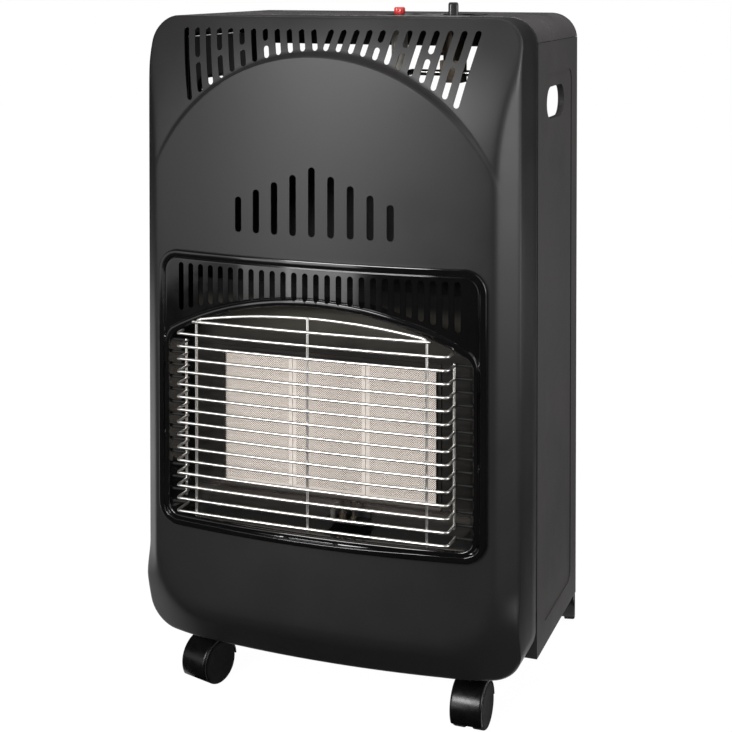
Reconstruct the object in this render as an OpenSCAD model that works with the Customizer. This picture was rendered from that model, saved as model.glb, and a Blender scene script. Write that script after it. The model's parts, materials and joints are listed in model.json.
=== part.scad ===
// Cabinet gas heater on castors, millimetres, +Z up, front faces -Y.
// Origin: centre of the overall box, on the floor.
// Depths in the modules are measured from the front line, where the bowed front
// meets its side bevels; placed() shifts that line to its place in the frame.

/* [Cabinet] */
// Overall width of the cabinet
cab_w = 420; // [400:5:440]
// Height of the flat top above the floor
cab_top = 741; // [731:1:751]
// Height of the front housing's lower edge
front_low = 66; // [64:1:68]
// Radius of the cabinet's rounded corners
corner_r = 30; // [24:1:34]
// Thickness of the pressed sheet
sheet = 1.5; // [1.2:0.1:1.8]
// Depth from the front line to the seam behind the front housing
seam_y = 95; // [92:1:100]
// Depth from the front line to the rear edge of the side panels
panel_rear = 283; // [270:1:295]
// Depth from the front line to the rear edge of the base tray
tray_rear = 410; // [400:1:420]

/* [Front housing] */
// Radius of the bowed front, seen from above
bow_r = 1000; // [900:50:1200]
// Half width of the flat front between its side bevels
flat_half = 190.5; // [188:0.5:193]
// Depth of the side bevels
bevel_y = 23; // [20:1:26]
// Distance from the flat top down to the plateau's arched edge
arch_drop = 38; // [35:1:41]
// Radius of the plateau's arched edge
arch_r = 208; // [204:1:212]
// Step from the plateau back to the vent band where its lean starts
step_y = 0.8; // [0.6:0.1:1.2]
// Radius of the vent band's slow lean back
lean_r = 380; // [360:5:400]
// Distance from the flat top down to where the vent band starts to lean back
lean_drop = 163; // [159:1:165]
// Height of the bevel along the lower edge
low_bevel = 37; // [30:1:42]

/* [Vents] */
// Pitch of the vent slots in the top band
top_pitch = 14.1; // [13.8:0.1:14.4]
// Width of a vent slot in the top band
top_slot_w = 6.2; // [5.4:0.2:6.6]
// Lean of the top slots towards the middle, in degrees
top_lean = 12.8; // [12:0.2:13.4]
// Pitch of the nine slots on the plateau
mid_pitch = 21.1; // [20:0.1:22]
// Width of a slot on the plateau
mid_slot_w = 7.5; // [6:0.5:9]
// Length of the longest slot on the plateau
mid_slot_len = 72; // [66:1:74]

/* [Surround and guard] */
// Width of the burner surround
sur_w = 365.4; // [360:0.2:370]
// Height of the surround's lower edge
sur_low = 196; // [194:1:198]
// Height of the surround's upper edge
sur_high = 492; // [490:1:494]
// How far the surround stands in front of the plateau
sur_rise = 4.8; // [4:0.2:6]
// Half width of the burner opening at the surround's face
open_half = 169; // [167:0.5:170]
// Height of the arched opening's highest point
open_top = 444; // [442:1:446]
// Diameter of the guard's wires
wire_d = 3; // [2.6:0.2:3.4]
// Pitch of the guard's long wires
wire_pitch = 13.45; // [13:0.05:13.6]
// Half width of the guard
guard_half = 149.4; // [147:0.2:151]
// How far the ends of the guard's wires stand in front of the front line
guard_y = 27.8; // [26:0.2:30]

/* [Burner] */
// Depth of the ceramic plaques behind the front line
plaque_y = 28.5; // [27:0.5:30]
// Width of a plaque's perforated field
plaque_w = 74.6; // [72:0.2:76]
// Width of the plain strip where two plaques meet
divider_w = 8.5; // [7:0.5:10]
// Height of the plaques' lower edge
plaque_low = 238.5; // [236:0.5:240]
// Height of the plaques seen inside their frame
plaque_h = 141.3; // [138:0.1:144]

/* [Castors] */
// Diameter of a castor wheel
wheel_d = 48; // [44:1:50]
// Width of one of the two wheels of a castor
wheel_w = 13; // [11:0.5:14]
// Distance from the swivel axis to the wheel axle
trail = 15; // [12:1:17]
// Rest angle of the front left castor, in degrees
left_swing = -18; // [-30:1:30]
// Rest angle of the rear right castor, in degrees
rear_swing = 13; // [-30:1:30]

/* [Controls] */
// Position of the control knob across the cabinet
knob_x = 106; // [100:1:112]
// Position of the igniter button across the cabinet
button_x = 44; // [42:1:52]
// Depth of both controls behind the front line
control_y = 132; // [128:1:136]
// Rest angle of the knob's grip, in degrees
knob_turn = 17; // [0:1:30]
// Travel of the control knob when pressed
press_travel = 3; // [2:0.5:3]
// Travel of the igniter button
button_travel = 6; // [4:0.5:6]

/* [Hidden] */
$fn = 96;
eps = 0.01;
far = 1000;
seat = 0.3;          // gap between separate pieces that sit side by side
fit = 0.05;          // radial running fit of a shaft in its bore
half_w = cab_w / 2;
bow_s = flat_half * flat_half / (2 * bow_r);
bow_fn = 256;
slot_ease = 0.02;    // keeps a slot's sides from just touching its round ends
bow_angle = 30;
guard_bow = 3.9;
guard_reach = guard_y + guard_bow + wire_d / 2;
shift_y = (guard_reach - tray_rear) / 2;
panel_low = 63.5;
panel_high = cab_top - 27.5;
cover_low = panel_high + 0.5;
flange = 15;
ledge_z = front_low + sheet;          // top of the flanges that carry the tray
tray_z = ledge_z + sheet;             // floor of the gas bottle bay
shield_y = seam_y + seat + sheet;
shield_rear = shield_y + sheet;
shield_low = 90;
shield_high = cab_top - 116;
arch_top = cab_top - arch_drop;
lean_z = cab_top - lean_drop;
slot_arc_r = arch_r + 3.3;
arch_z = arch_top - arch_r;
top_slot_z = cab_top - 12.5;
mid_slot_z = 516;
mid_step = 8.7;
sur_r = 24;
sur_slots = 26;
sur_pitch = 12.3;
sur_slot_w = 6.2;
sur_slot_top = 479;
sur_slot_low = 450;
sur_slot_arc = 544;
open_arc_r = 336;
open_low = 208.5;
pocket_half = 156;
wire_r = wire_d / 2;
wire_sides = 8;       // the wires are drawn as eight-sided bars
joint_r = wire_r + 0.05;
wire_count = 15;
wire_low = 219;
hoop_half = 127.2;
hoop_top = 434;
hoop_side_top = 423;
hoop_rise = hoop_top - hoop_side_top;
hoop_arc_r = (hoop_half * hoop_half + hoop_rise * hoop_rise) / (2 * hoop_rise);
hook_y = -2;
hook_end = 167;
field_half = 1.5 * plaque_w + divider_w;
plaque_high = plaque_low + plaque_h;
burner_pitch = plaque_w + divider_w;
plaque_t = 12;
lap = 1.2;
chamber_y = 72;
venturi_y = 56;
venturi_r = 13;
manifold_z = 150;
manifold_s = 14;
manifold_half = 105;
manifold_wall = 2;
bracket_x = 70;
bracket_w = 26;
rail_low = cab_top - 41;
tray_front = 34;
tray_half = half_w - 22;
tray_r = 50;
seat_r = 140;         // pressed seat that the gas bottle stands on
seat_y = 255;
seat_h = 2;
pan_floor = cab_top - 7;
pan_x = [33, 132];
pan_y = [100, 165];
spindle_r = 4;
knob_low = pan_floor + press_travel + 1;
knob_top = pan_floor + 21;
spindle_low = pan_floor - 25;
spindle_top = knob_top - 9;
valve_low = pan_floor - 44;
valve_top = pan_floor - 12;
button_low = pan_floor + button_travel + 1.4;
button_top = pan_floor + 15.5;
button_r = 5.8;
feed_x = 59;
feed_z = 112;
port_z = pan_floor - 56;
pipe_r = 3.5;
valve_half = 12;
inlet_x = 140;
inlet_y = shield_rear + 12;
inlet_z = pan_floor - 134;
inlet_run = 18;
spigot_r = 4.5;
spigot_len = 24;
socket_low = 58;
socket_r = 7;
stem_r = 5;
stem_top = 88;
castor_x = half_w - 60;
castor_y = 73;
rear_castor_x = half_w - 38;
rear_castor_y = 370;
wheel_r = wheel_d / 2;
web_half = 4;
axle_gap = 0.4;
axle_r = 3;
hood_gap = 1.2;
cover_top_z = 470;

// ---- shared shapes ----

// Moves a piece drawn from the front line to its place in the frame.
module placed() {
    translate([0, shift_y, 0]) children();
}

// A copy on each side of the middle.
module both_sides() {
    children();
    mirror([1, 0, 0]) children();
}

// Extrudes an outline drawn as [across, up] from depth y0 to depth y1.
module along_y(y0, y1) {
    translate([0, y1, 0]) rotate([90, 0, 0]) linear_extrude(y1 - y0) children();
}

// Rectangle from the lower left to the upper right corner, with rounded corners.
module round_rect(x0, z0, x1, z1, r) {
    translate([x0 + r, z0]) square([x1 - x0 - 2 * r, z1 - z0]);
    translate([x0, z0 + r]) square([x1 - x0, z1 - z0 - 2 * r]);
    for (x = [x0 + r, x1 - r], z = [z0 + r, z1 - r]) translate([x, z]) circle(r);
}

// Outline of the cabinet seen from the front, drawn in by a distance.
module cabinet_outline(inset) {
    round_rect(-half_w + inset, front_low + inset, half_w - inset, cab_top - inset,
               corner_r - inset);
}

// Slot with round ends between two points [across, up], cut from y0 to y1.
module slot_cut(a, b, width, y0, y1) {
    length = norm(b - a);
    angle = atan2(b[1] - a[1], b[0] - a[0]);
    along_y(y0, y1) {
        translate(a) rotate(angle) translate([0, slot_ease - width / 2])
            square([length, width - 2 * slot_ease]);
        for (p = [a, b]) translate(p) circle(width / 2, $fn = 24);
    }
}

// Turns a profile [radius, up] into a bowed solid that faces the front.
module bowed() {
    translate([0, bow_r - bow_s, 0])
        rotate([0, 0, -90 - bow_angle / 2])
            rotate_extrude(angle = bow_angle, $fn = bow_fn) children();
}

// Straight bar between two points, round or with a few sides.
module bar(a, b, r, sides = 96) {
    d = b - a;
    length = norm(d);
    translate(a)
        rotate([0, acos(d[2] / length), atan2(d[1], d[0])])
            cylinder(r = r, h = length, $fn = sides);
}

// Bar along a path, with a ball at each bend.
module bent_bar(path, r, ball, sides = 96) {
    for (i = [0 : len(path) - 2]) bar(path[i], path[i + 1], r, sides);
    for (i = [1 : len(path) - 2]) translate(path[i]) sphere(ball, $fn = 32);
}

// ---- front housing ----

// Upright face of the vent band, then its lean back.
module band_profile(inset) {
    back_r = bow_r - 200;
    band_r = bow_r - step_y - inset;
    low = arch_z - 20;
    translate([back_r, low]) square([band_r - back_r, lean_z - low]);
    intersection() {
        translate([bow_r - step_y - lean_r, lean_z]) circle(lean_r - inset, $fn = 480);
        translate([back_r, lean_z]) square([bow_r - back_r, lean_drop + 20]);
    }
}

// Plateau with the bevel along its lower edge.
module plateau_profile(inset) {
    below = 20;
    foot_r = bow_r - inset - bevel_y * (low_bevel + below) / low_bevel;
    polygon([
        [bow_r - 200, front_low - below], [foot_r, front_low - below],
        [bow_r - inset, front_low + low_bevel], [bow_r - inset, arch_top + below],
        [bow_r - 200, arch_top + below]
    ]);
}

// Arched area of the plateau seen from the front.
module arch_outline(inset) {
    translate([0, arch_z]) circle(arch_r - inset, $fn = 200);
    translate([-cab_w, 0]) square([2 * cab_w, arch_z + arch_r / 3]);
}

// Seen from above: the wedge between the side bevels, wider than the cabinet behind them.
module plan_outline(inset) {
    slope = (half_w - flat_half) / bevel_y;
    reach = 40;
    back = 2 * bevel_y;
    x0 = flat_half - inset * sqrt(1 + slope * slope) - slope * reach;
    x1 = flat_half - inset * sqrt(1 + slope * slope) + slope * back;
    polygon([[-x1, far], [-x1, back], [-x0, -reach], [x0, -reach], [x1, back], [x1, far]]);
}

// Solid outer form of the housing, drawn in by a distance, back to depth y1.
module front_form(inset, y1) {
    intersection() {
        along_y(-60, y1) cabinet_outline(inset);
        linear_extrude(far) plan_outline(inset);
        union() {
            bowed() band_profile(inset);
            intersection() {
                bowed() plateau_profile(inset);
                along_y(-70, y1 + 10) arch_outline(inset);
            }
        }
    }
}

// Slots of the top band on one side; every other one near the end is split.
module top_slots() {
    shift = tan(top_lean);
    for (k = [0 : 11]) {
        x_top = 10.4 + k * top_pitch;
        x_guess = x_top - shift * (top_slot_z - arch_z - sqrt(slot_arc_r * slot_arc_r - x_top * x_top));
        z_low = arch_z + sqrt(slot_arc_r * slot_arc_r - x_guess * x_guess) + top_slot_w / 2;
        high = [x_top - shift * top_slot_w / 2, top_slot_z - top_slot_w / 2];
        low = [x_top - shift * (top_slot_z - z_low), z_low];
        split = (k == 4 || k == 6 || k == 8 || k == 10);
        middle = (high + low) / 2;
        gap = (high - low) / norm(high - low) * 5.7;
        if (split) {
            slot_cut(low, middle - gap, top_slot_w, -40, 60);
            slot_cut(middle + gap, high, top_slot_w, -40, 60);
        } else {
            slot_cut(low, high, top_slot_w, -40, 60);
        }
    }
}

// Nine upright slots, longest in the middle.
module mid_slots() {
    for (k = [-4 : 4]) {
        low = [k * mid_pitch, mid_slot_z + mid_slot_w / 2];
        high = low + [0, mid_slot_len - mid_slot_w - abs(k) * mid_step];
        slot_cut(low, high, mid_slot_w, -40, 20);
    }
}

// Pressed front shell with its vents, burner window and rear flanges.
module front_housing() {
    window_half = open_half + 3;
    color("#4a4848") placed() difference() {
        union() {
            difference() {
                front_form(0, seam_y);
                front_form(sheet, seam_y + 1);
            }
            along_y(seam_y - sheet, seam_y) difference() {
                cabinet_outline(sheet / 2);
                cabinet_outline(flange);
                translate([-half_w, 0]) square([cab_w, 110]);
            }
        }
        both_sides() top_slots();
        mid_slots();
        along_y(-60, 40) round_rect(-window_half, open_low - 4, window_half, sur_slot_top + 3, 12);
        for (s = [-1, 1]) translate([s * castor_x, castor_y, front_low - 2]) cylinder(r = 9, h = 6);
    }
}

// ---- burner surround and guard ----

// Lower end of a surround slot at a distance from the middle.
function sur_slot_foot(x) = sur_slot_low - sur_slot_arc + sqrt(sur_slot_arc * sur_slot_arc - x * x);

// Arched burner opening, seen from the front.
module opening_outline(inset) {
    intersection() {
        translate([0, open_top - open_arc_r]) circle(open_arc_r - inset, $fn = 200);
        round_rect(-open_half + inset, open_low + inset, open_half - inset, open_top + 20, 12 - inset);
    }
}

// Space inside the pocket's walls, narrowing towards the burner.
module pocket_form(inset, y0, y1) {
    slope = (open_half - pocket_half) / (plaque_y + bow_s);
    x0 = open_half - inset - slope * (y0 + bow_s);
    x1 = open_half - inset - slope * (y1 + bow_s);
    intersection() {
        along_y(y0, y1) opening_outline(inset);
        linear_extrude(far) polygon([[-x0, y0], [x0, y0], [x1, y1], [-x1, y1]]);
    }
}

// Outline of the surround seen from the front, drawn in by a distance.
module surround_outline(inset) {
    round_rect(-sur_w / 2 + inset, sur_low + inset, sur_w / 2 - inset, sur_high - inset, sur_r - inset);
}

// Bowed slab from the plateau out to the surround's face, drawn in by a distance.
module surround_slab(inset, back) {
    bowed() translate([bow_r - back, sur_low - 5])
        square([sur_rise - inset + back, sur_high - sur_low + 10]);
}

// Gloss frame around the burner: raised pan, slotted above, with a deep pocket.
module surround() {
    color("#0c0c0c") placed() difference() {
        union() {
            difference() {
                intersection() {
                    along_y(-60, 20) surround_outline(0);
                    surround_slab(0, -seat);
                }
                intersection() {
                    along_y(-60, 20) surround_outline(sheet);
                    surround_slab(sheet, 2);
                }
            }
            intersection() {
                pocket_form(-sheet, -40, plaque_y - seat);
                surround_slab(sheet / 2, 90);
            }
        }
        pocket_form(0, -40, plaque_y);
        for (k = [0 : sur_slots - 1]) {
            x = (k - (sur_slots - 1) / 2) * sur_pitch;
            slot_cut([x, sur_slot_foot(x) + sur_slot_w / 2], [x, sur_slot_top - sur_slot_w / 2],
                     sur_slot_w, -40, 20);
        }
        for (k = [0 : wire_count - 2]) translate([0, hook_y, wire_low + k * wire_pitch])
            rotate([0, 90, 0]) cylinder(r = wire_r + seat, h = cab_w, center = true);
    }
}

// Depth of the guard's bowed front at a distance from the middle.
function guard_depth(x) = guard_bow * pow(x / guard_half, 2) - guard_y - guard_bow;

// Bowed bar across the guard.
module cross_wire(half, z) {
    guard_r = guard_half * guard_half / (2 * guard_bow);
    angle = asin(half / guard_r);
    translate([0, guard_r - guard_y - guard_bow, z])
        rotate([0, 0, -90 - angle])
            rotate_extrude(angle = 2 * angle, $fn = 720)
                translate([guard_r, 0]) circle(wire_r, $fn = wire_sides);
}

// Chrome wire guard, its ends hooked into the surround's pocket.
module wire_guard() {
    lap_y = 2.4;
    side_y = -6;
    wire_high = wire_low + (wire_count - 1) * wire_pitch;
    hoop_y = guard_depth(hoop_half) + lap_y;
    hoop_angle = asin(hoop_half / hoop_arc_r);
    color("#dcdcdc") placed() union() {
        for (k = [0 : wire_count - 1]) {
            z = wire_low + k * wire_pitch;
            cross_wire(guard_half, z);
            both_sides() {
                translate([guard_half, -guard_y, z]) sphere(joint_r, $fn = 32);
                if (k < wire_count - 1)
                    bent_bar([[guard_half, -guard_y, z], [guard_half, hook_y, z], [hook_end, hook_y, z]],
                             wire_r, joint_r, wire_sides);
                else
                    bar([guard_half, -guard_y, z], [guard_half, -guard_y + 14, z], wire_r, wire_sides);
            }
        }
        cross_wire(hoop_half + wire_d, hoop_side_top - 2);
        both_sides() {
            bar([hoop_half, hoop_y, wire_low - wire_d],
                [hoop_half, hoop_y, hoop_side_top], wire_r, wire_sides);
            translate([hoop_half, hoop_y, hoop_side_top]) sphere(joint_r, $fn = 32);
            bar([guard_half, side_y, wire_low + wire_pitch - wire_d],
                [guard_half, side_y, wire_high - wire_pitch + wire_r], wire_r, wire_sides);
        }
        middle_y = guard_depth(0) + lap_y;
        bar([0, middle_y, wire_low - wire_d], [0, middle_y, hoop_top], wire_r, wire_sides);
        translate([0, hoop_y, hoop_top - hoop_arc_r])
            rotate([90, 0, 0]) rotate([0, 0, 90 - hoop_angle])
                rotate_extrude(angle = 2 * hoop_angle, $fn = 720)
                    translate([hoop_arc_r, 0]) circle(wire_r, $fn = wire_sides);
    }
}

// ---- cabinet panels ----

// Handhold, seen from the side as [depth, up].
hand_y = 179;
hand_z = cab_top - 94.5;
hand_w = 81;
hand_h = 35;

// Extrudes an outline drawn as [depth, up] from x0 to x1.
module along_x(x0, x1) {
    translate([x0, 0, 0]) rotate([90, 0, 90]) linear_extrude(x1 - x0) children();
}

// Oblong with round ends, drawn as [depth, up].
module hand_outline(grow) {
    r = hand_h / 2 + grow;
    run = hand_w / 2 - hand_h / 2;
    translate([hand_y - run, hand_z - r]) square([2 * run, 2 * r]);
    for (s = [-1, 1]) translate([hand_y + s * run, hand_z]) circle(r);
}

// Field pressed into the side panels, seen from the side.
module pressed_field(inset) {
    round_rect(122 + inset, 88 + inset, 256 - inset, cab_top - 61 - inset, 14 - inset);
}

// Right side panel: folded edges, a pressed field and a lipped handhold.
module side_panel() {
    y0 = seam_y + seat;
    press = 1;
    difference() {
        union() {
            translate([half_w - sheet, y0, panel_low]) cube([sheet, panel_rear - y0, panel_high - panel_low]);
            translate([half_w - flange, y0, panel_low]) cube([flange, sheet, panel_high - panel_low]);
            translate([half_w - flange, panel_rear - sheet, panel_low])
                cube([flange, sheet, panel_high - panel_low]);
            translate([half_w - flange, y0, front_low]) cube([flange, panel_rear - y0, sheet]);
            translate([half_w - flange, y0, panel_high - sheet]) cube([flange, panel_rear - y0, sheet]);
            along_x(half_w - sheet - press, half_w - press) pressed_field(0);
            along_x(half_w - 8, half_w - press - sheet / 2) hand_outline(sheet);
        }
        along_x(half_w - press, half_w + 1) pressed_field(sheet);
        along_x(half_w - 20, half_w + 1) hand_outline(0);
    }
}

module side_panel_right() {
    color("#434142") placed() side_panel();
}

module side_panel_left() {
    color("#434142") placed() mirror([1, 0, 0]) side_panel();
}

// Rounded cap over the top, with a cut-out for the controls.
module top_cover() {
    y0 = seam_y + seat;
    color("#8d8a8b") placed() difference() {
        along_y(y0, panel_rear) difference() {
            cabinet_outline(0);
            cabinet_outline(sheet);
            translate([-half_w - 1, 0]) square([cab_w + 2, cover_low]);
        }
        translate([pan_x[0], pan_y[0], cab_top - 10])
            cube([pan_x[1] - pan_x[0], pan_y[1] - pan_y[0], 20]);
    }
}

// Cross member that closes the rear of the cap and ties the side panels.
module rear_rail() {
    y1 = panel_rear - sheet - seat;
    tab = 24;
    gap = sheet + seat;
    rail_half = half_w - flange - 1;
    color("#1c1c1c") placed() {
        along_y(y1 - sheet, y1) {
            translate([-rail_half, rail_low]) square([2 * rail_half, panel_high - rail_low + 2]);
            intersection() {
                cabinet_outline(gap);
                translate([-half_w, panel_high]) square([cab_w, 40]);
            }
        }
        along_y(y1 - tab, y1 - eps) intersection() {
            difference() {
                cabinet_outline(gap);
                cabinet_outline(gap + sheet);
            }
            translate([-half_w, cab_top - corner_r / 2]) square([cab_w, corner_r]);
        }
        both_sides() translate([half_w - flange, y1 - tab, panel_high])
            cube([flange - gap, tab - eps, sheet]);
    }
}

// Seen from above: the base behind the panels, which carries the back of the bottle.
module tray_outline(inset) {
    x = tray_half - inset;
    translate([-x, panel_rear - tray_r]) square([2 * x, tray_rear - panel_rear]);
    translate([tray_r - tray_half, panel_rear])
        square([2 * (tray_half - tray_r), tray_rear - panel_rear - inset]);
    for (s = [-1, 1]) translate([s * (tray_half - tray_r), tray_rear - tray_r]) circle(tray_r - inset);
}

// The area behind the side panels.
module behind_panels(y0) {
    translate([-half_w, y0]) square([cab_w, cab_w]);
}

// Floor of the cabinet with the bottle's raised seat, carried by the flanges.
module base_tray() {
    lip = 5;
    front_half = half_w - corner_r - seat;
    neck_half = half_w - flange - seat;
    main_half = half_w - sheet - seat;
    main_y = shield_rear + seat;
    main_rear = panel_rear - sheet - seat;
    color("#1e1e1e") placed() difference() {
        union() {
            translate([-front_half, tray_front, ledge_z])
                cube([2 * front_half, seam_y - tray_front + 1, sheet]);
            translate([-neck_half, seam_y + seat, ledge_z]) cube([2 * neck_half, panel_rear - seam_y, sheet]);
            translate([-main_half, main_y, ledge_z]) cube([2 * main_half, main_rear - main_y, sheet]);
            translate([0, 0, ledge_z]) linear_extrude(sheet) intersection() {
                tray_outline(0);
                behind_panels(panel_rear - 1);
            }
            translate([0, seat_y, ledge_z + eps]) cylinder(r = seat_r, h = sheet + seat_h - eps);
            translate([0, 0, ledge_z - lip]) linear_extrude(lip + eps) intersection() {
                difference() {
                    tray_outline(0);
                    tray_outline(sheet);
                }
                behind_panels(panel_rear + seat);
            }
        }
        translate([0, seat_y, ledge_z - 1]) cylinder(r = seat_r - sheet, h = seat_h + 1);
        for (s = [-1, 1]) {
            translate([s * castor_x, castor_y, ledge_z - 1]) cylinder(r = socket_r + seat, h = 6);
            translate([s * rear_castor_x, rear_castor_y, ledge_z - 1]) cylinder(r = socket_r + seat, h = 6);
        }
    }
}

// Upright sheet between the burner and the gas bottle.
module heat_shield() {
    color("#8f8f8f") placed() difference() {
        translate([-half_w + sheet + seat, shield_y, shield_low])
            cube([cab_w - 2 * (sheet + seat), sheet, shield_high - shield_low]);
        for (k = [-1 : 1])
            slot_cut([k * 120 - 20, feed_z], [k * 120 + 20, feed_z], 16, shield_y - 1, shield_y + 3);
        along_y(shield_y - 1, shield_y + 3) translate([feed_x, feed_z]) circle(pipe_r + 2);
    }
}

// Lift-off cover behind the gas bottle, with vent slots, a hand slot and folded edges.
module rear_cover() {
    y0 = panel_rear + seat;
    low = tray_z + seat;
    inset = 2;
    height = cover_top_z - low;
    color("#2a2a2a") placed() difference() {
        union() {
            translate([0, 0, low]) linear_extrude(height) intersection() {
                difference() {
                    tray_outline(inset);
                    tray_outline(inset + sheet);
                }
                behind_panels(y0);
            }
            translate([0, 0, cover_top_z - sheet]) linear_extrude(sheet) intersection() {
                difference() {
                    tray_outline(inset);
                    tray_outline(inset + 12);
                }
                behind_panels(y0);
            }
            both_sides() translate([tray_half - inset - sheet, y0, low]) cube([18, sheet, height]);
        }
        for (row = [0 : 5], k = [-2 : 2]) {
            z = 120 + row * 26;
            slot_cut([k * 46 - 15, z], [k * 46 + 15, z], 7, tray_rear - 20, tray_rear + 20);
        }
        slot_cut([-42, 425], [42, 425], 26, tray_rear - 20, tray_rear + 20);
    }
}

// ---- controls ----

// Sunken pan in the cap that holds the knob and the button.
module control_pan() {
    rim = 3;
    wall = 1.2;
    color("#161616") placed() difference() {
        union() {
            translate([pan_x[0] + seat, pan_y[0] + seat, pan_floor - sheet])
                cube([pan_x[1] - pan_x[0] - 2 * seat, pan_y[1] - pan_y[0] - 2 * seat,
                      cab_top - pan_floor + sheet + eps]);
            translate([pan_x[0] - rim, pan_y[0] - rim, cab_top])
                cube([pan_x[1] - pan_x[0] + 2 * rim, pan_y[1] - pan_y[0] + 2 * rim, 0.8]);
        }
        translate([pan_x[0] + wall + seat, pan_y[0] + wall + seat, pan_floor])
            cube([pan_x[1] - pan_x[0] - 2 * (wall + seat), pan_y[1] - pan_y[0] - 2 * (wall + seat), 20]);
        translate([knob_x, control_y, pan_floor - 5]) cylinder(r = spindle_r + 0.5, h = 10);
        translate([button_x, control_y, pan_floor - 5]) cylinder(r = spindle_r + 0.5, h = 10);
    }
}

// Brass valve under the pan, with a neck around the return collar.
module gas_valve() {
    neck_r = 13;
    color("#b8933f") placed() difference() {
        union() {
            translate([knob_x, control_y, valve_low]) cylinder(r = 11, h = valve_top - valve_low + eps);
            translate([knob_x, control_y, valve_top]) cylinder(r = neck_r, h = pan_floor - sheet - valve_top);
            translate([knob_x - valve_half, control_y - 11, port_z - 10]) cube([2 * valve_half, 22, 24]);
            translate([knob_x - 15, control_y, valve_low + 12]) rotate([0, 90, 0]) cylinder(r = 5, h = 10);
        }
        translate([knob_x, control_y, valve_top]) cylinder(r = 9.5, h = 20);
        translate([knob_x, control_y, spindle_low - press_travel - 2]) cylinder(r = spindle_r + fit, h = 30);
    }
}

// Ring that the return spring lifts; it carries the spindle up and down.
module valve_collar() {
    color("#c8c8c8") placed() translate([knob_x, control_y, valve_top + 5]) difference() {
        cylinder(r = 8, h = 2.5);
        translate([0, 0, -1]) cylinder(r = spindle_r + fit, h = 5);
    }
}

// Spindle from the valve's plug up into the knob.
module valve_spindle() {
    color("#c9a85a") placed() translate([knob_x, control_y, spindle_low])
        cylinder(r = spindle_r, h = spindle_top - spindle_low);
}

// Knob with a round skirt and a grip blade that points to the front when off.
module control_knob() {
    color("#111111") placed() translate([knob_x, control_y, knob_low]) difference() {
        union() {
            cylinder(r = 17.5, h = 3);
            cylinder(r = 11, h = 4.5);
            rotate([0, 0, knob_turn]) translate([-5.5, -16, 2]) cube([11, 32, knob_top - knob_low - 2]);
        }
        translate([0, 0, -1]) cylinder(r = spindle_r + fit, h = spindle_top - knob_low + 1);
    }
}

// Piezo igniter that hangs under the pan.
module igniter_body() {
    color("#e4e0d8") placed() translate([button_x, control_y, 0]) difference() {
        union() {
            translate([0, 0, valve_low]) cylinder(r = 9, h = pan_floor - sheet - valve_low);
            translate([0, 0, valve_low - 14]) cylinder(r = 4.5, h = 14 + eps);
        }
        translate([0, 0, valve_low + 18]) cylinder(r = spindle_r + fit, h = 40);
    }
}

// Red push button on the igniter.
module igniter_button() {
    rod_low = valve_low + 27;
    color("#b5201d") placed() translate([button_x, control_y, 0]) union() {
        translate([0, 0, rod_low]) cylinder(r = spindle_r, h = button_low - rod_low + eps);
        translate([0, 0, button_low]) cylinder(r = button_r, h = button_top - button_low);
        for (a = [0 : 30 : 330]) rotate([0, 0, a]) translate([button_r - 0.2, 0, button_low + 1])
            cylinder(r = 0.6, h = button_top - button_low - 2, $fn = 16);
    }
}

// ---- gas path ----

// Tube from the valve, along the shield and down to the manifold.
module feed_pipe() {
    x0 = knob_x - valve_half;
    y0 = shield_rear + 8;
    color("#c9c9c9") placed() bent_bar([
        [x0, control_y, port_z], [feed_x, control_y, port_z], [feed_x, y0, port_z], [feed_x, y0, feed_z],
        [feed_x, venturi_y, feed_z], [feed_x, venturi_y, manifold_z - manifold_s / 2]
    ], pipe_r, pipe_r + 0.1);
}

// Tube from the gas inlet up to the valve.
module inlet_pipe() {
    x0 = knob_x + valve_half;
    color("#c9c9c9") placed() bent_bar([
        [x0, control_y, port_z], [inlet_x, control_y, port_z],
        [inlet_x, inlet_y, port_z], [inlet_x, inlet_y, inlet_z], [inlet_x, inlet_y + inlet_run, inlet_z]
    ], pipe_r, pipe_r + 0.1);
}

// Brass union with a plain hose spigot that points to the rear.
module gas_inlet() {
    nut = 14;
    color("#b8933f") placed() translate([inlet_x, inlet_y + inlet_run, inlet_z]) rotate([-90, 0, 0]) {
        cylinder(r = 8, h = nut, $fn = 6);
        translate([0, 0, nut - eps]) cylinder(r = spigot_r, h = spigot_len + eps);
    }
}

// Square gas bar below the burners.
module manifold() {
    bore = manifold_s - 2 * manifold_wall;
    color("#9b9b9b") placed() difference() {
        translate([0, venturi_y, manifold_z])
            cube([2 * manifold_half, manifold_s, manifold_s], center = true);
        translate([0, venturi_y, manifold_z])
            cube([2 * (manifold_half - manifold_wall), bore, bore], center = true);
    }
}

// Folded bracket that carries the gas bar from the heat shield.
module manifold_bracket() {
    z0 = manifold_z - manifold_s / 2 - sheet;
    color("#8f8f8f") placed() both_sides() {
        translate([bracket_x, venturi_y - 9, z0]) cube([bracket_w, shield_y - venturi_y + 9, sheet]);
        translate([bracket_x, shield_y - sheet, z0]) cube([bracket_w, sheet, bracket_w]);
    }
}

// Three brass injectors that stand on the gas bar.
module injectors() {
    color("#b8933f") placed() for (k = [-1 : 1])
        translate([k * burner_pitch, venturi_y, manifold_z + manifold_s / 2]) {
            cylinder(r = 6, h = 8, $fn = 6);
            translate([0, 0, 8 - eps]) cylinder(r = 3, h = 8);
        }
}

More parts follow.
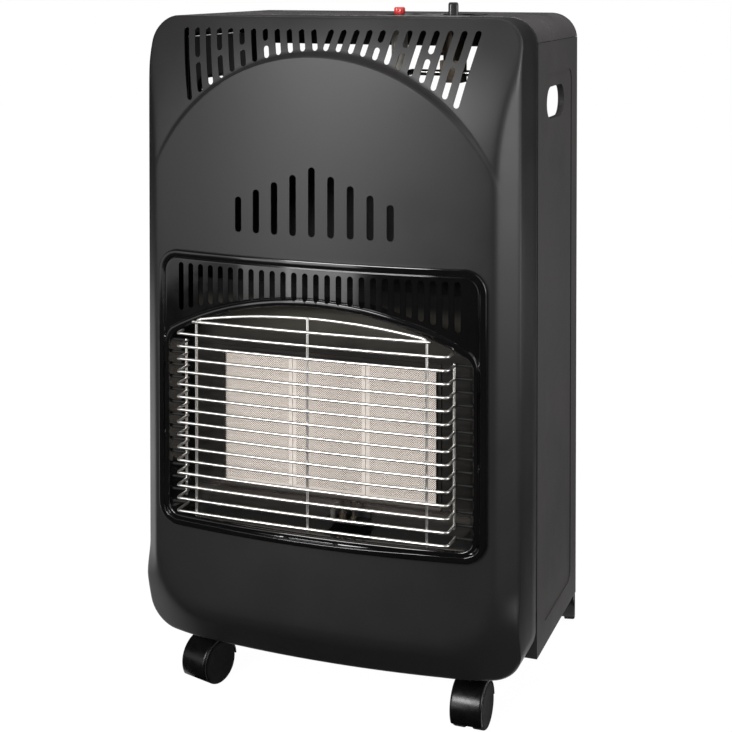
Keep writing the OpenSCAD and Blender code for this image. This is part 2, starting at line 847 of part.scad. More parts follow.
// Burner box, open in front behind its plaque, with a venturi tube below.
module burner_chamber(k) {
    box_w = burner_pitch - 2 * seat;
    box_low = plaque_low - lap;
    box_h = plaque_h + 2 * lap;
    box_y = plaque_y + sheet + plaque_t;
    mouth_z = manifold_z + manifold_s / 2 + 21;
    color("#7e7c78") placed() translate([k * burner_pitch, 0, 0]) difference() {
        union() {
            translate([-box_w / 2, box_y, box_low]) cube([box_w, chamber_y - box_y, box_h]);
            translate([0, venturi_y, mouth_z]) cylinder(r = venturi_r, h = box_low - mouth_z + 1);
            translate([0, venturi_y, mouth_z]) cylinder(r1 = venturi_r + 4, r2 = venturi_r, h = 10);
        }
        translate([-box_w / 2 + sheet, box_y - 1, box_low + sheet])
            cube([box_w - 2 * sheet, chamber_y - box_y - sheet + 1, box_h - 2 * sheet]);
        translate([0, venturi_y, mouth_z - 1])
            cylinder(r = venturi_r - sheet, h = box_low + sheet - mouth_z + 1 + eps);
    }
}

module burner_chamber_left() {
    burner_chamber(-1);
}

module burner_chamber_middle() {
    burner_chamber(0);
}

module burner_chamber_right() {
    burner_chamber(1);
}

// Flat ceramic plate on the front of a burner box, held by the reflector's edge.
module ceramic_plaque(k) {
    width = burner_pitch - 2 * seat;
    color("#e6ddd2") placed() translate([k * burner_pitch - width / 2, plaque_y + sheet, plaque_low - lap])
        cube([width, plaque_t, plaque_h + 2 * lap]);
}

module ceramic_plaque_left() {
    ceramic_plaque(-1);
}

module ceramic_plaque_middle() {
    ceramic_plaque(0);
}

module ceramic_plaque_right() {
    ceramic_plaque(1);
}

// Bright frame around the plaques, with a folded edge and a narrow shelf below.
module plaque_frame() {
    rim = 5;
    fold = 3;
    shelf = 7;
    color("#b5b2ac") placed() difference() {
        union() {
            translate([-field_half - rim, plaque_y - sheet, plaque_low - rim])
                cube([2 * (field_half + rim), sheet, plaque_h + 2 * rim]);
            translate([-field_half - 1, plaque_y - fold, plaque_low - 1])
                cube([2 * (field_half + 1), fold, plaque_h + 2]);
            translate([-field_half - rim, plaque_y - shelf, plaque_low - rim])
                cube([2 * (field_half + rim), shelf, sheet]);
        }
        translate([-field_half, plaque_y - 5, plaque_low]) cube([2 * field_half, 10, plaque_h]);
    }
}

// Back wall of the pocket, with a hole for the plaques.
module reflector() {
    color("#5a5648") placed() difference() {
        along_y(plaque_y, plaque_y + sheet)
            round_rect(-pocket_half - 12, open_low - 10, pocket_half + 12, open_top + 12, 10);
        translate([-field_half, plaque_y - 1, plaque_low]) cube([2 * field_half, 4, plaque_h]);
    }
}

// Small shelf under the plaques for the pilot parts.
module pilot_bracket() {
    color("#a9a6a0") placed() {
        translate([4, plaque_y - 22, 215]) cube([44, 22, sheet]);
        translate([4, plaque_y - sheet, 215 + sheet - eps]) cube([44, sheet, 8]);
    }
}

// Pilot burner tube with its flame nozzle.
module pilot_burner() {
    color("#c2b280") placed() translate([22, plaque_y - 14, 215 + sheet]) {
        cylinder(r = 4, h = 7);
        translate([0, 0, 7 - eps]) cylinder(r = 2.5, h = 6);
    }
}

// Thermocouple probe beside the pilot.
module thermocouple() {
    color("#b87b4a") placed() translate([34, plaque_y - 14, 215 + sheet]) {
        cylinder(r = 3.2, h = 4);
        translate([0, 0, 4 - eps]) cylinder(r = 1.6, h = 16);
    }
}

// Spark electrode: ceramic sleeve and bent tip.
module spark_electrode() {
    color("#efeae0") placed() translate([11, plaque_y - 14, 215 + sheet]) {
        cylinder(r = 3, h = 9);
        translate([0, 0, 9 - eps]) cylinder(r = 0.9, h = 7);
        translate([0, 0, 15.2]) rotate([0, 70, 0]) cylinder(r = 0.85, h = 6);
    }
}

// ---- castors ----

// Stem axes [x, y] and rest angles, in the order front left, front right, rear left, rear right.
STEMS = [
    [-castor_x, castor_y, left_swing], [castor_x, castor_y, 0],
    [-rear_castor_x, rear_castor_y, 0], [rear_castor_x, rear_castor_y, rear_swing]
];

// Moves a castor piece from the swivel axis to one of the four corners.
module at_stem(i) {
    placed() translate([STEMS[i][0], STEMS[i][1], 0]) rotate([0, 0, STEMS[i][2]]) children();
}

// Flanged sleeves that hold the castor stems in the tray.
module castor_sockets() {
    color("#2b2b2b") for (i = [0 : 3]) at_stem(i) difference() {
        union() {
            translate([0, 0, socket_low]) cylinder(r = socket_r, h = 34);
            translate([0, 0, tray_z]) cylinder(r = socket_r + 3, h = 2);
        }
        translate([0, 0, socket_low - 1]) cylinder(r = stem_r + fit, h = 32);
    }
}

// Hood and web between the two wheels.
module castor_hood(i) {
    shell = 2;
    inner = web_half + axle_gap;
    full = 2 * (inner + wheel_w);
    color("#151515") at_stem(i) difference() {
        union() {
            intersection() {
                translate([0, -trail, wheel_r]) rotate([0, 90, 0])
                    cylinder(r = wheel_r + hood_gap + shell, h = full, center = true);
                translate([-full / 2, -trail - 12, wheel_r + 2]) cube([full, 60, 60]);
            }
            translate([0, -trail, wheel_r]) rotate([0, 90, 0])
                cylinder(r = wheel_r - 4, h = 2 * web_half, center = true);
            translate([0, 0, 40]) cylinder(r = 9, h = socket_low - seat - 40);
        }
        for (s = [-1, 1]) translate([s * (web_half + 50), -trail, wheel_r]) rotate([0, 90, 0])
            cylinder(r = wheel_r + hood_gap, h = 100, center = true);
        translate([0, -trail, wheel_r]) rotate([0, 90, 0]) cylinder(r = axle_r, h = 60, center = true);
        translate([0, 0, 50]) cylinder(r = stem_r, h = 20);
    }
}

// Steel stem that turns in its socket.
module castor_stem(i) {
    color("#a8a8a8") at_stem(i) translate([0, 0, 50]) cylinder(r = stem_r, h = stem_top - 50);
}

// Axle through the web.
module castor_axle(i) {
    run = web_half + axle_gap + wheel_w - 2;
    color("#a8a8a8") at_stem(i) translate([0, -trail, wheel_r]) rotate([0, 90, 0])
        cylinder(r = axle_r, h = 2 * run, center = true);
}

// One wheel; side is -1 or 1.
module castor_wheel(i, side) {
    inner = web_half + axle_gap;
    color("#101010") at_stem(i) translate([0, -trail, wheel_r]) rotate([0, 90 * side, 0])
        translate([0, 0, inner]) difference() {
            union() {
                cylinder(r = wheel_r, h = wheel_w - 1.5);
                cylinder(r = wheel_r - 2, h = wheel_w);
            }
            translate([0, 0, wheel_w - 1]) difference() {
                cylinder(r = wheel_r - 4.5, h = 2);
                translate([0, 0, -1]) cylinder(r = 8, h = 4);
            }
            translate([0, 0, -1]) cylinder(r = axle_r + fit, h = wheel_w - 1);
        }
}

front_housing();
surround();
wire_guard();
top_cover();
side_panel_left();
side_panel_right();
rear_rail();
base_tray();
heat_shield();
rear_cover();
control_pan();
gas_valve();
valve_collar();
valve_spindle();
control_knob();
igniter_body();
igniter_button();
feed_pipe();
inlet_pipe();
gas_inlet();
manifold();
manifold_bracket();
injectors();
burner_chamber_left();
burner_chamber_middle();
burner_chamber_right();
ceramic_plaque_left();
ceramic_plaque_middle();
ceramic_plaque_right();
plaque_frame();
reflector();
pilot_bracket();
pilot_burner();
thermocouple();
spark_electrode();
castor_sockets();
castor_hood(0);  // castor_hood_fl
castor_hood(1);  // castor_hood_fr
castor_hood(2);  // castor_hood_rl
castor_hood(3);  // castor_hood_rr
castor_stem(0);  // castor_stem_fl
castor_stem(1);  // castor_stem_fr
castor_stem(2);  // castor_stem_rl
castor_stem(3);  // castor_stem_rr
castor_axle(0);  // castor_axle_fl
castor_axle(1);  // castor_axle_fr
castor_axle(2);  // castor_axle_rl
castor_axle(3);  // castor_axle_rr
castor_wheel(0, -1);  // castor_wheel_fl_a
castor_wheel(0, 1);  // castor_wheel_fl_b
castor_wheel(1, -1);  // castor_wheel_fr_a
castor_wheel(1, 1);  // castor_wheel_fr_b
castor_wheel(2, -1);  // castor_wheel_rl_a
castor_wheel(2, 1);  // castor_wheel_rl_b
castor_wheel(3, -1);  // castor_wheel_rr_a
castor_wheel(3, 1);  // castor_wheel_rr_b
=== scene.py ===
"""Looks of a cabinet gas heater on castors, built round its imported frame.

Sizes are in millimetres from the front line, where the bowed front meets its side
bevels, with +Z up from the floor. Frame.place() turns them into frame metres.
"""

from __future__ import annotations

import json
import logging
import math
from dataclasses import dataclass, field
from enum import Enum
from typing import Any, Callable, Sequence

import bmesh
import bpy
import numpy as np
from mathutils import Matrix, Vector

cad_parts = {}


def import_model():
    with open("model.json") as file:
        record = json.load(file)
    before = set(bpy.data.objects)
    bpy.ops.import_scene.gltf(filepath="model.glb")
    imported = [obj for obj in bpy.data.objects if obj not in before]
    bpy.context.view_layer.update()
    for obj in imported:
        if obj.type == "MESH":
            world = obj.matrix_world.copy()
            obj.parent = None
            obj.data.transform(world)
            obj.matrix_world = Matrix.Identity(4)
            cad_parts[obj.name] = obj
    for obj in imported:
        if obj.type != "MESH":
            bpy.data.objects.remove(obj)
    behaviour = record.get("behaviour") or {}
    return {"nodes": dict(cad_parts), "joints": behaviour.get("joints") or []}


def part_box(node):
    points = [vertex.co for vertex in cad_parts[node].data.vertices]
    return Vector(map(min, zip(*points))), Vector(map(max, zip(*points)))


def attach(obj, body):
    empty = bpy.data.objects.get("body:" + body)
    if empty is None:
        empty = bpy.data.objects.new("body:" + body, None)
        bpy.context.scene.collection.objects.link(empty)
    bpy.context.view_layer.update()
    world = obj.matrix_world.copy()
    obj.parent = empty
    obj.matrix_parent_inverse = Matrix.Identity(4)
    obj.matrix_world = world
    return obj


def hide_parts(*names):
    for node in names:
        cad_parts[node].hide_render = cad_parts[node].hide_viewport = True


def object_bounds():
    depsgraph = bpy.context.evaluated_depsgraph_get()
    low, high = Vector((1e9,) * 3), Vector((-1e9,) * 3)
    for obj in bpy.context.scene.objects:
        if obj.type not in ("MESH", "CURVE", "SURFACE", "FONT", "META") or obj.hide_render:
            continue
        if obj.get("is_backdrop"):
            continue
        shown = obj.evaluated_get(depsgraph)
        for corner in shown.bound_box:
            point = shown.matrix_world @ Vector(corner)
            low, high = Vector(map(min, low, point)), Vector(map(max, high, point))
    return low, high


log = logging.getLogger("heater")

MM = 0.001
SEAM_DEPTH = 95.0
CORNERS = ("fl", "fr", "rl", "rr")
AHEAD = (0.0, 1.0, 0.0)
UP = (0.0, 0.0, 1.0)

Array = np.ndarray
Colour = tuple[float, float, float]
Floats = Sequence[float]


# ---- arrays and meshes ----


class Frame:
    """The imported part: its nodes and joints, its box and the place of the front line."""

    def __init__(self) -> None:
        """Loads the frame and finds the front line from the housing's rear edge."""
        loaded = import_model()
        self.nodes: dict[str, bpy.types.Object] = loaded["nodes"]
        self.joints: dict[str, dict[str, Any]] = {j["name"]: j for j in loaded["joints"]}
        self.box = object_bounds()
        self.front_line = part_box("front_housing")[1].y / MM - SEAM_DEPTH

    def place(self, points: Array) -> Array:
        """Moves points from front-line millimetres to frame metres."""
        return (points + np.array([0.0, self.front_line, 0.0])) * MM


def smooth_max(a: Array, b: Array, width: float) -> Array:
    """The larger of two arrays, rounded where they cross: (a + b + sqrt((a - b)^2 + width^2)) / 2."""
    return (a + b + np.sqrt((a - b) ** 2 + width**2)) / 2


def smooth_step(low: float, high: float, value: Array) -> Array:
    """Rises from 0 at low to 1 at high as t^2 (3 - 2t)."""
    t = np.clip((value - low) / (high - low), 0.0, 1.0)
    return t * t * (3 - 2 * t)


def stack(*axes: Array | float) -> Array:
    """Joins arrays that broadcast to one shape, one for each axis, into points."""
    return np.stack(np.broadcast_arrays(*axes), axis=-1).astype(float)


def curve(start: Array, corner: Array, end: Array, t: Array) -> Array:
    """Quadratic curve: (1 - t)^2 start + 2 t (1 - t) corner + t^2 end."""
    return (1 - t) ** 2 * start + 2 * t * (1 - t) * corner + t**2 * end


def unit(vectors: Array) -> Array:
    """Vectors divided by their lengths."""
    return vectors / np.linalg.norm(vectors, axis=-1, keepdims=True)


def grid_faces(rows: int, columns: int, wrap: bool = False) -> Array:
    """Quads between neighbouring rows and columns of a grid.

    Args:
        rows: Number of rows.
        columns: Number of columns.
        wrap: Joins the last column to the first.

    Returns:
        One row of four point numbers for each quad.
    """
    row = np.arange(rows - 1)[:, None] * columns
    column = np.arange(columns if wrap else columns - 1)[None, :]
    after = (column + 1) % columns
    corners = (row + column, row + after, row + columns + after, row + columns + column)
    return np.stack(corners, axis=-1).reshape(-1, 4)


def new_object(name: str, data: bpy.types.ID) -> bpy.types.Object:
    """Makes an object of a mesh, lamp or camera and links it to the scene.

    Args:
        name: The object's name.
        data: What it shows.

    Returns:
        The object, at the origin.
    """
    made = bpy.data.objects.new(name, data)
    bpy.context.scene.collection.objects.link(made)
    return made


@dataclass
class Build:
    """Points and faces of a piece while it is put together."""

    points: list[Array] = field(default_factory=list)
    faces: list[list[int]] = field(default_factory=list)
    count: int = 0

    def add(self, points: Array, faces: Array | Sequence[Sequence[int]]) -> None:
        """Adds a patch.

        Args:
            points: The patch's points.
            faces: Its faces, numbered from the patch's own first point.
        """
        flat = np.asarray(points, float).reshape(-1, 3)
        self.faces += [[int(i) + self.count for i in f] for f in faces]
        self.points.append(flat)
        self.count += len(flat)

    def add_grid(self, grid: Array, wrap: bool = True, flip: bool = False, caps: bool = True) -> None:
        """Adds a grid of points as quads.

        Args:
            grid: Points as [row, column, axis].
            wrap: Joins the last column to the first.
            flip: Turns the faces round.
            caps: Closes the first and the last row with one face each.
        """
        rows, columns = grid.shape[:2]
        faces = grid_faces(rows, columns, wrap).tolist()
        if caps:
            faces.append(list(range(columns))[::-1])
            faces.append(list(range((rows - 1) * columns, rows * columns)))
        if flip:
            faces = [f[::-1] for f in faces]
        self.add(grid, faces)

    def piece(self, name: str, frame: Frame, merge: float = 0.0) -> bpy.types.Object:
        """Makes the mesh object.

        Args:
            name: The piece's name.
            frame: Turns the points into frame metres.
            merge: Distance in millimetres within which points become one.

        Returns:
            The new object, at the origin, with its place in its mesh.
        """
        mesh = bpy.data.meshes.new(name)
        mesh.from_pydata(frame.place(np.concatenate(self.points)), [], self.faces)
        if merge:
            weld(mesh, merge * MM)
        mesh.validate()
        return new_object(name, mesh)


def weld(mesh: bpy.types.Mesh, distance: float) -> None:
    """Makes points that lie close together one, and drops faces without area.

    Args:
        mesh: The mesh to mend.
        distance: How close counts as one, in metres.
    """
    work = bmesh.new()
    work.from_mesh(mesh)
    bmesh.ops.remove_doubles(work, verts=work.verts, dist=distance)
    bmesh.ops.dissolve_degenerate(work, dist=distance / 10, edges=work.edges)
    work.to_mesh(mesh)
    work.free()


def take_modified(piece: bpy.types.Object) -> bpy.types.Mesh:
    """A piece's mesh with its modifiers applied, which are then taken off the piece.

    Args:
        piece: The piece with live modifiers.

    Returns:
        The new mesh.
    """
    graph = bpy.context.evaluated_depsgraph_get()
    done = bpy.data.meshes.new_from_object(piece.evaluated_get(graph))
    piece.modifiers.clear()
    return done


def thicken(piece: bpy.types.Object, thickness: float, even: bool = True) -> None:
    """Gives an open sheet its wall, inward from its outer face.

    Args:
        piece: The open sheet.
        thickness: The wall's thickness in millimetres.
        even: Keeps the thickness on sharp folds, which only a smooth sheet can take.
    """
    wall = piece.modifiers.new("wall", "SOLIDIFY")
    wall.thickness = thickness * MM
    wall.offset = -1.0
    wall.use_even_offset = even
    wall.use_quality_normals = True
    piece.data = take_modified(piece)


def cut(piece: bpy.types.Object, cutter: bpy.types.Object) -> None:
    """Takes a cutter's closed shapes out of a closed piece and deletes the cutter.

    The slower exact solver works only where the first one empties or misses the piece.

    Args:
        piece: The closed piece.
        cutter: One object that holds all the closed shapes.
    """
    faces_before = len(piece.data.polygons)
    for solver in ("MANIFOLD", "EXACT"):
        knife = piece.modifiers.new("cut", "BOOLEAN")
        knife.operation = "DIFFERENCE"
        knife.object = cutter
        knife.solver = solver
        done = take_modified(piece)
        if len(done.polygons) not in (0, faces_before):
            piece.data = done
            break
        log.warning("%s: the %s cut changed nothing", piece.name, solver)
    bpy.data.objects.remove(cutter)


# ---- outlines and sweeps ----


def arc(centre: Floats, radius: float, start: float, end: float, steps: int) -> Array:
    """Points on a circle from one angle to another, the last one left out.

    Args:
        centre: Middle of the circle.
        radius: Its radius.
        start: First angle in degrees.
        end: Last angle in degrees.
        steps: Number of points.

    Returns:
        Points [across, up].
    """
    angles = np.radians(np.linspace(start, end, steps, endpoint=False))
    return stack(centre[0] + radius * np.cos(angles), centre[1] + radius * np.sin(angles))


def rounded_rectangle(x0: float, z0: float, x1: float, z1: float, radius: float, steps: int = 12,
                      side: float = 6.0) -> Array:
    """Closed outline, anticlockwise from the right side's foot.

    Args:
        x0: Left side.
        z0: Lower side.
        x1: Right side.
        z1: Upper side.
        radius: Radius of the corners.
        steps: Points on each corner.
        side: Rough distance between points on the straight sides.

    Returns:
        The outline's points [across, up].
    """
    centres = [(x1 - radius, z0 + radius, -90), (x1 - radius, z1 - radius, 0),
               (x0 + radius, z1 - radius, 90), (x0 + radius, z0 + radius, 180)]
    corners = [arc((cx, cz), radius, a, a + 90, steps) for cx, cz, a in centres]
    parts = []
    for i, (cx, cz, angle) in enumerate(centres):
        last = math.radians(angle + 90)
        start = np.array([cx + radius * math.cos(last), cz + radius * math.sin(last)])
        end = corners[(i + 1) % 4][0]
        count = max(2, int(np.linalg.norm(end - start) / side))
        parts += [corners[i], start + (end - start) * np.linspace(0, 1, count, endpoint=False)[:, None]]
    return np.concatenate(parts)


def outline_normals(outline: Array) -> Array:
    """Outward unit normals of a closed anticlockwise outline, from its neighbours' chord."""
    chord = np.roll(outline, -1, axis=0) - np.roll(outline, 1, axis=0)
    return unit(stack(chord[:, 1], -chord[:, 0]))


def capsule(a: Floats, b: Floats, width: float, steps: int = 10) -> Array:
    """Outline of a slot with round ends between two points, anticlockwise.

    Args:
        a: Middle of the first end.
        b: Middle of the other end.
        width: The slot's width.
        steps: Points on each end.

    Returns:
        The outline's points.
    """
    angle = math.degrees(math.atan2(b[1] - a[1], b[0] - a[0]))
    turns = ((angle - 90, angle + 90), (angle + 90, angle + 270))
    angles = np.radians(np.concatenate([np.linspace(*turn, steps) for turn in turns]))
    centres = np.repeat(np.array([b, a], float), steps, axis=0)
    return centres + width / 2 * stack(np.cos(angles), np.sin(angles))


def prism(build: Build, outline: Array, y0: float, y1: float) -> None:
    """Adds a closed prism over an anticlockwise outline [across, up], from depth y0 to y1.

    Args:
        build: Takes the prism.
        outline: The outline.
        y0: Depth of its front face.
        y1: Depth of its rear face.
    """
    rings = [stack(outline[:, 0], y, outline[:, 1]) for y in (y0, y1)]
    build.add_grid(np.array(rings), flip=True)


def round_corners(points: Sequence[Floats], radius: float, steps: int = 6) -> Array:
    """Path whose inner corners are quadratic curves that start a radius before each corner.

    Args:
        points: The path's corners.
        radius: Distance from a corner to where its curve starts and ends.
        steps: Points on each curve.

    Returns:
        The smooth path.
    """
    corners = np.asarray(points, float)
    t = np.linspace(0, 1, steps)[:, None]
    path = [corners[:1]]
    for before, corner, after in zip(corners, corners[1:], corners[2:]):
        start = corner + unit(before - corner) * radius
        end = corner + unit(after - corner) * radius
        path.append(curve(start, corner, end, t))
    return np.concatenate(path + [corners[-1:]])


def tube(build: Build, path: Array, radius: float, normal: Floats, sides: int = 12) -> None:
    """Adds a round bar with domed ends along a path that lies in a plane.

    Each ring is path + r (cos a * normal + sin a * (tangent x normal)); a domed end adds
    rings whose radius falls as the cosine while they move on by its sine.

    Args:
        build: Takes the bar.
        path: Points along the middle of the bar.
        radius: The bar's radius.
        normal: Unit normal of the path's plane.
        sides: Faces round the bar.
    """
    tangent = unit(np.gradient(path, axis=0))
    dome = np.radians([75.0, 45.0, 20.0])
    rings = len(dome)
    ahead, shrink = np.sin(dome)[:, None] * radius, np.cos(dome) * radius
    path = np.concatenate([path[0] - tangent[0] * ahead, path, path[-1] + tangent[-1] * ahead[::-1]])
    radii = np.concatenate([shrink, np.full(len(tangent), radius), shrink[::-1]])
    tangent = np.concatenate([np.repeat(tangent[:1], rings, 0), tangent, np.repeat(tangent[-1:], rings, 0)])
    up = np.broadcast_to(np.asarray(normal, float), tangent.shape)
    side = np.cross(tangent, up)
    angles = np.linspace(0, 2 * np.pi, sides, endpoint=False)[None, :, None]
    ring = np.cos(angles) * up[:, None] + np.sin(angles) * side[:, None]
    build.add_grid(path[:, None] + radii[:, None, None] * ring)


def lathe(build: Build, profile: Sequence[Floats], origin: Floats, axis: Floats = UP, sides: int = 48,
          ripple: Callable[[Array, Array], Array] | None = None) -> None:
    """Turns a profile [radius, along] about an axis.

    A point is origin + along * axis + radius (cos a * p + sin a * q), with p and q square
    to the axis. The profile runs from the lower end to the upper one.

    Args:
        build: Takes the turned shape.
        profile: Points [radius, along].
        origin: A point on the axis.
        axis: Direction of the axis.
        sides: Faces round the axis.
        ripple: What the radius gains at [angle, along] where the shape isn't round.
    """
    direction = unit(np.asarray(axis, float))
    helper = np.array([0.0, 0.0, 1.0]) if abs(direction[2]) < 0.9 else np.array([1.0, 0.0, 0.0])
    p = unit(np.cross(helper, direction))
    q = np.cross(direction, p)
    angles = np.linspace(0, 2 * np.pi, sides, endpoint=False)
    radius, along = np.hsplit(np.asarray(profile, float), 2)
    radius = np.broadcast_to(radius, (len(profile), sides))
    if ripple is not None:
        radius = radius + ripple(angles[None, :], along)
    ring = np.cos(angles)[None, :, None] * p + np.sin(angles)[None, :, None] * q
    build.add_grid(np.asarray(origin, float) + along[:, :, None] * direction + radius[:, :, None] * ring)


def upright_ribs(count: int, height: float, low: float, high: float) -> Callable[[Array, Array], Array]:
    """A ripple of upright ribs: height * cos(count a) between two levels.

    Args:
        count: Ribs round the shape.
        height: How far they swing in and out.
        low: Lowest level.
        high: Highest level.

    Returns:
        A ripple for lathe().
    """
    def ripple(angle: Array, along: Array) -> Array:
        """What the ribs add to the radius."""
        return height * np.cos(count * angle) * ((along > low) & (along < high))

    return ripple


def loft(build: Build, outline: Array, rows: Sequence[tuple[float, float]]) -> None:
    """Stacks an outline [x, y] into a closed upright shape.

    Args:
        build: Takes the shape.
        outline: Anticlockwise outline seen from above.
        rows: For each level, how far the outline is drawn in, and its height.
    """
    normals = outline_normals(outline)
    rings = [stack(*(outline - normals * inset).T, height) for inset, height in rows]
    build.add_grid(np.array(rings))


# ---- shader nodes ----


def math_method(operation: str, swapped: bool = False) -> Callable[..., "Signal"]:
    """A method of Signal that adds a Math node.

    Args:
        operation: The node's operation.
        swapped: Puts the signal second, as a reflected operator does.

    Returns:
        The method.
    """
    def method(signal: "Signal", other: Any = 0.0) -> "Signal":
        """The operation on the signal and the other value."""
        first, second = (other, signal) if swapped else (signal, other)
        return signal.shader.node("ShaderNodeMath", {"operation": operation}, {0: first, 1: second})

    return method


class Signal:
    """A node's output that takes part in Python arithmetic; a comparison gives 1 or 0."""

    def __init__(self, shader: "Shader", socket: bpy.types.NodeSocket) -> None:
        """Wraps a socket of a shader."""
        self.shader = shader
        self.socket = socket

    __add__, __radd__ = math_method("ADD"), math_method("ADD", swapped=True)
    __sub__, __rsub__ = math_method("SUBTRACT"), math_method("SUBTRACT", swapped=True)
    __mul__, __rmul__ = math_method("MULTIPLY"), math_method("MULTIPLY", swapped=True)
    __truediv__, __rtruediv__ = math_method("DIVIDE"), math_method("DIVIDE", swapped=True)
    __pow__, __abs__ = math_method("POWER"), math_method("ABSOLUTE")
    __lt__, __gt__ = math_method("LESS_THAN"), math_method("GREATER_THAN")
    nearest, capped = math_method("ROUND"), math_method("MINIMUM")


class Shader:
    """The node tree of a material or of the world."""

    def __init__(self, owner: bpy.types.Material | bpy.types.World) -> None:
        """Empties the owner's tree.

        Args:
            owner: The material or the world.
        """
        self.owner = owner
        owner.use_nodes = True
        self.tree = owner.node_tree
        self.tree.nodes.clear()

    def node(self, kind: str, settings: dict[str, Any] | None = None,
             inputs: dict[Any, Any] | None = None, output: Any = 0) -> Signal | None:
        """Adds any node.

        Args:
            kind: The node's type.
            settings: Its properties, set first.
            inputs: Values or signals for its sockets, by name or number.
            output: Name or number of the output that is wanted.

        Returns:
            That output, or None for the tree's own output, which has none.
        """
        made = self.tree.nodes.new(kind)
        for key, value in (settings or {}).items():
            setattr(made, key, value)
        for key, value in (inputs or {}).items():
            socket = made.inputs[key]
            if isinstance(value, Signal):
                self.tree.links.new(value.socket, socket)
            elif isinstance(value, tuple) and len(value) == 3 and socket.type == "RGBA":
                socket.default_value = (*value, 1.0)
            else:
                socket.default_value = value
        return Signal(self, made.outputs[output]) if made.outputs else None

    def place(self) -> Signal:
        """Object coordinates, in frame metres."""
        return self.node("ShaderNodeTexCoord", output="Object")

    def along(self, place: Signal, axis: str) -> Signal:
        """A place's X, Y or Z, in millimetres."""
        return self.node("ShaderNodeSeparateXYZ", inputs={0: place}, output=axis) / MM

    def noise(self, place: Signal, size: float, detail: float = 3.0) -> Signal:
        """Noise whose features are about a size in millimetres."""
        inputs = {"Vector": place, "Scale": 1 / (size * MM), "Detail": detail, "Roughness": 0.55}
        return self.node("ShaderNodeTexNoise", None, inputs)

    def stretched(self, place: Signal, scale: tuple[float, float, float]) -> Signal:
        """A place scaled along each axis, so that a pattern on it runs along the smallest one."""
        return self.node("ShaderNodeMapping", {"vector_type": "POINT"}, {"Vector": place, "Scale": scale})

    def spread(self, value: Signal, low: float, high: float, out_low: float = 0.0,
               out_high: float = 1.0) -> Signal:
        """Maps low to high onto out_low to out_high, clamped."""
        ends = {0: value, 1: low, 2: high, 3: out_low, 4: out_high}
        return self.node("ShaderNodeMapRange", {"clamp": True}, ends)

    def mix(self, factor: Any, a: Any, b: Any) -> Signal:
        """Colour a where factor is 0, and b where it is 1."""
        return self.node("ShaderNodeMix", {"data_type": "RGBA"}, {0: factor, 6: a, 7: b}, output=2)

    def bump(self, height: Signal, depth: float) -> Signal:
        """Normal of a surface whose height of 0 to 1 stands for a depth in millimetres."""
        return self.node("ShaderNodeBump", None, {"Strength": 1.0, "Distance": depth * MM, "Height": height})

    def finish(self, **inputs: Any) -> bpy.types.Material:
        """Ends the tree in a Principled shader.

        Args:
            inputs: Values or signals for its sockets, with _ for a space in a name.

        Returns:
            The material.
        """
        named = {key.replace("_", " "): value for key, value in inputs.items()}
        self.show(self.node("ShaderNodeBsdfPrincipled", None, named))
        return self.owner

    def show(self, surface: Signal) -> None:
        """Links a shader to the tree's output."""
        kind = "World" if isinstance(self.owner, bpy.types.World) else "Material"
        self.node(f"ShaderNodeOutput{kind}", None, {"Surface": surface})

    def seen(self) -> Signal:
        """1 where the eye, a mirror or clear glass meets the surface, 0 where it only gives light."""
        camera, glossy, through = [self.node("ShaderNodeLightPath", output=f"Is {ray} Ray")
                                   for ray in ("Camera", "Glossy", "Transmission")]
        return (camera + glossy + through).capped(1.0)


# ---- finishes ----


def dimmed(colour: Colour, share: float) -> Colour:
    """A colour with only a share of its light."""
    return tuple(c * share for c in colour)


class Pattern(Enum):
    """What a plain finish shows close up."""

    ORANGE_PEEL = "sprayed enamel"
    POWDER = "baked powder"
    MOULDED = "moulded plastic"
    ROLLED = "rolled or drawn steel"
    TURNED = "turned brass"


GRAIN_SQUEEZE = {Pattern.ROLLED: 14.0, Pattern.TURNED: 22.0}


@dataclass(frozen=True)
class Finish:
    """A finish with slow patches of tone, a fine grain and some wear in its gloss.

    tone is the main colour and patch the colour of its patches, patch_size and grain are
    in millimetres, depth is the grain's height in millimetres, and gloss_swing is how far
    the roughness moves either way. Rolled and turned metal has level lines: its grain is
    squeezed along z, and is darker in its hollows.
    """

    name: str
    pattern: Pattern
    tone: Colour
    patch: Colour
    roughness: float
    gloss_swing: float
    patch_size: float
    grain: float
    depth: float
    metallic: float = 0.0
    specular: float = 0.5
    coat: float = 0.0

    def material(self) -> bpy.types.Material:
        """Builds the material.

        Returns:
            A Principled material whose colour, roughness and normal vary with the place.
        """
        shader = Shader(bpy.data.materials.new(self.name))
        place = shader.place()
        grained = shader.stretched(place, (1.0, 1.0, GRAIN_SQUEEZE.get(self.pattern, 1.0)))
        patches = shader.spread(shader.noise(place, self.patch_size), 0.32, 0.68)
        grain = shader.noise(grained, self.grain, 2.0)
        tone = shader.mix(patches, self.tone, self.patch)
        if self.pattern in GRAIN_SQUEEZE:
            tone = shader.mix(shader.spread(grain, 0.35, 0.7, 0.0, 0.8), tone, dimmed(self.tone, 0.72))
        wear = shader.noise(place, self.patch_size * 0.35, 4.0)
        low, high = self.roughness - self.gloss_swing, self.roughness + self.gloss_swing
        return shader.finish(Base_Color=tone, Roughness=shader.spread(wear, 0.3, 0.7, low, high),
                             Metallic=self.metallic, Specular_IOR_Level=self.specular,
                             Coat_Weight=self.coat, Coat_Roughness=0.08,
                             Normal=shader.bump(grain, self.depth))


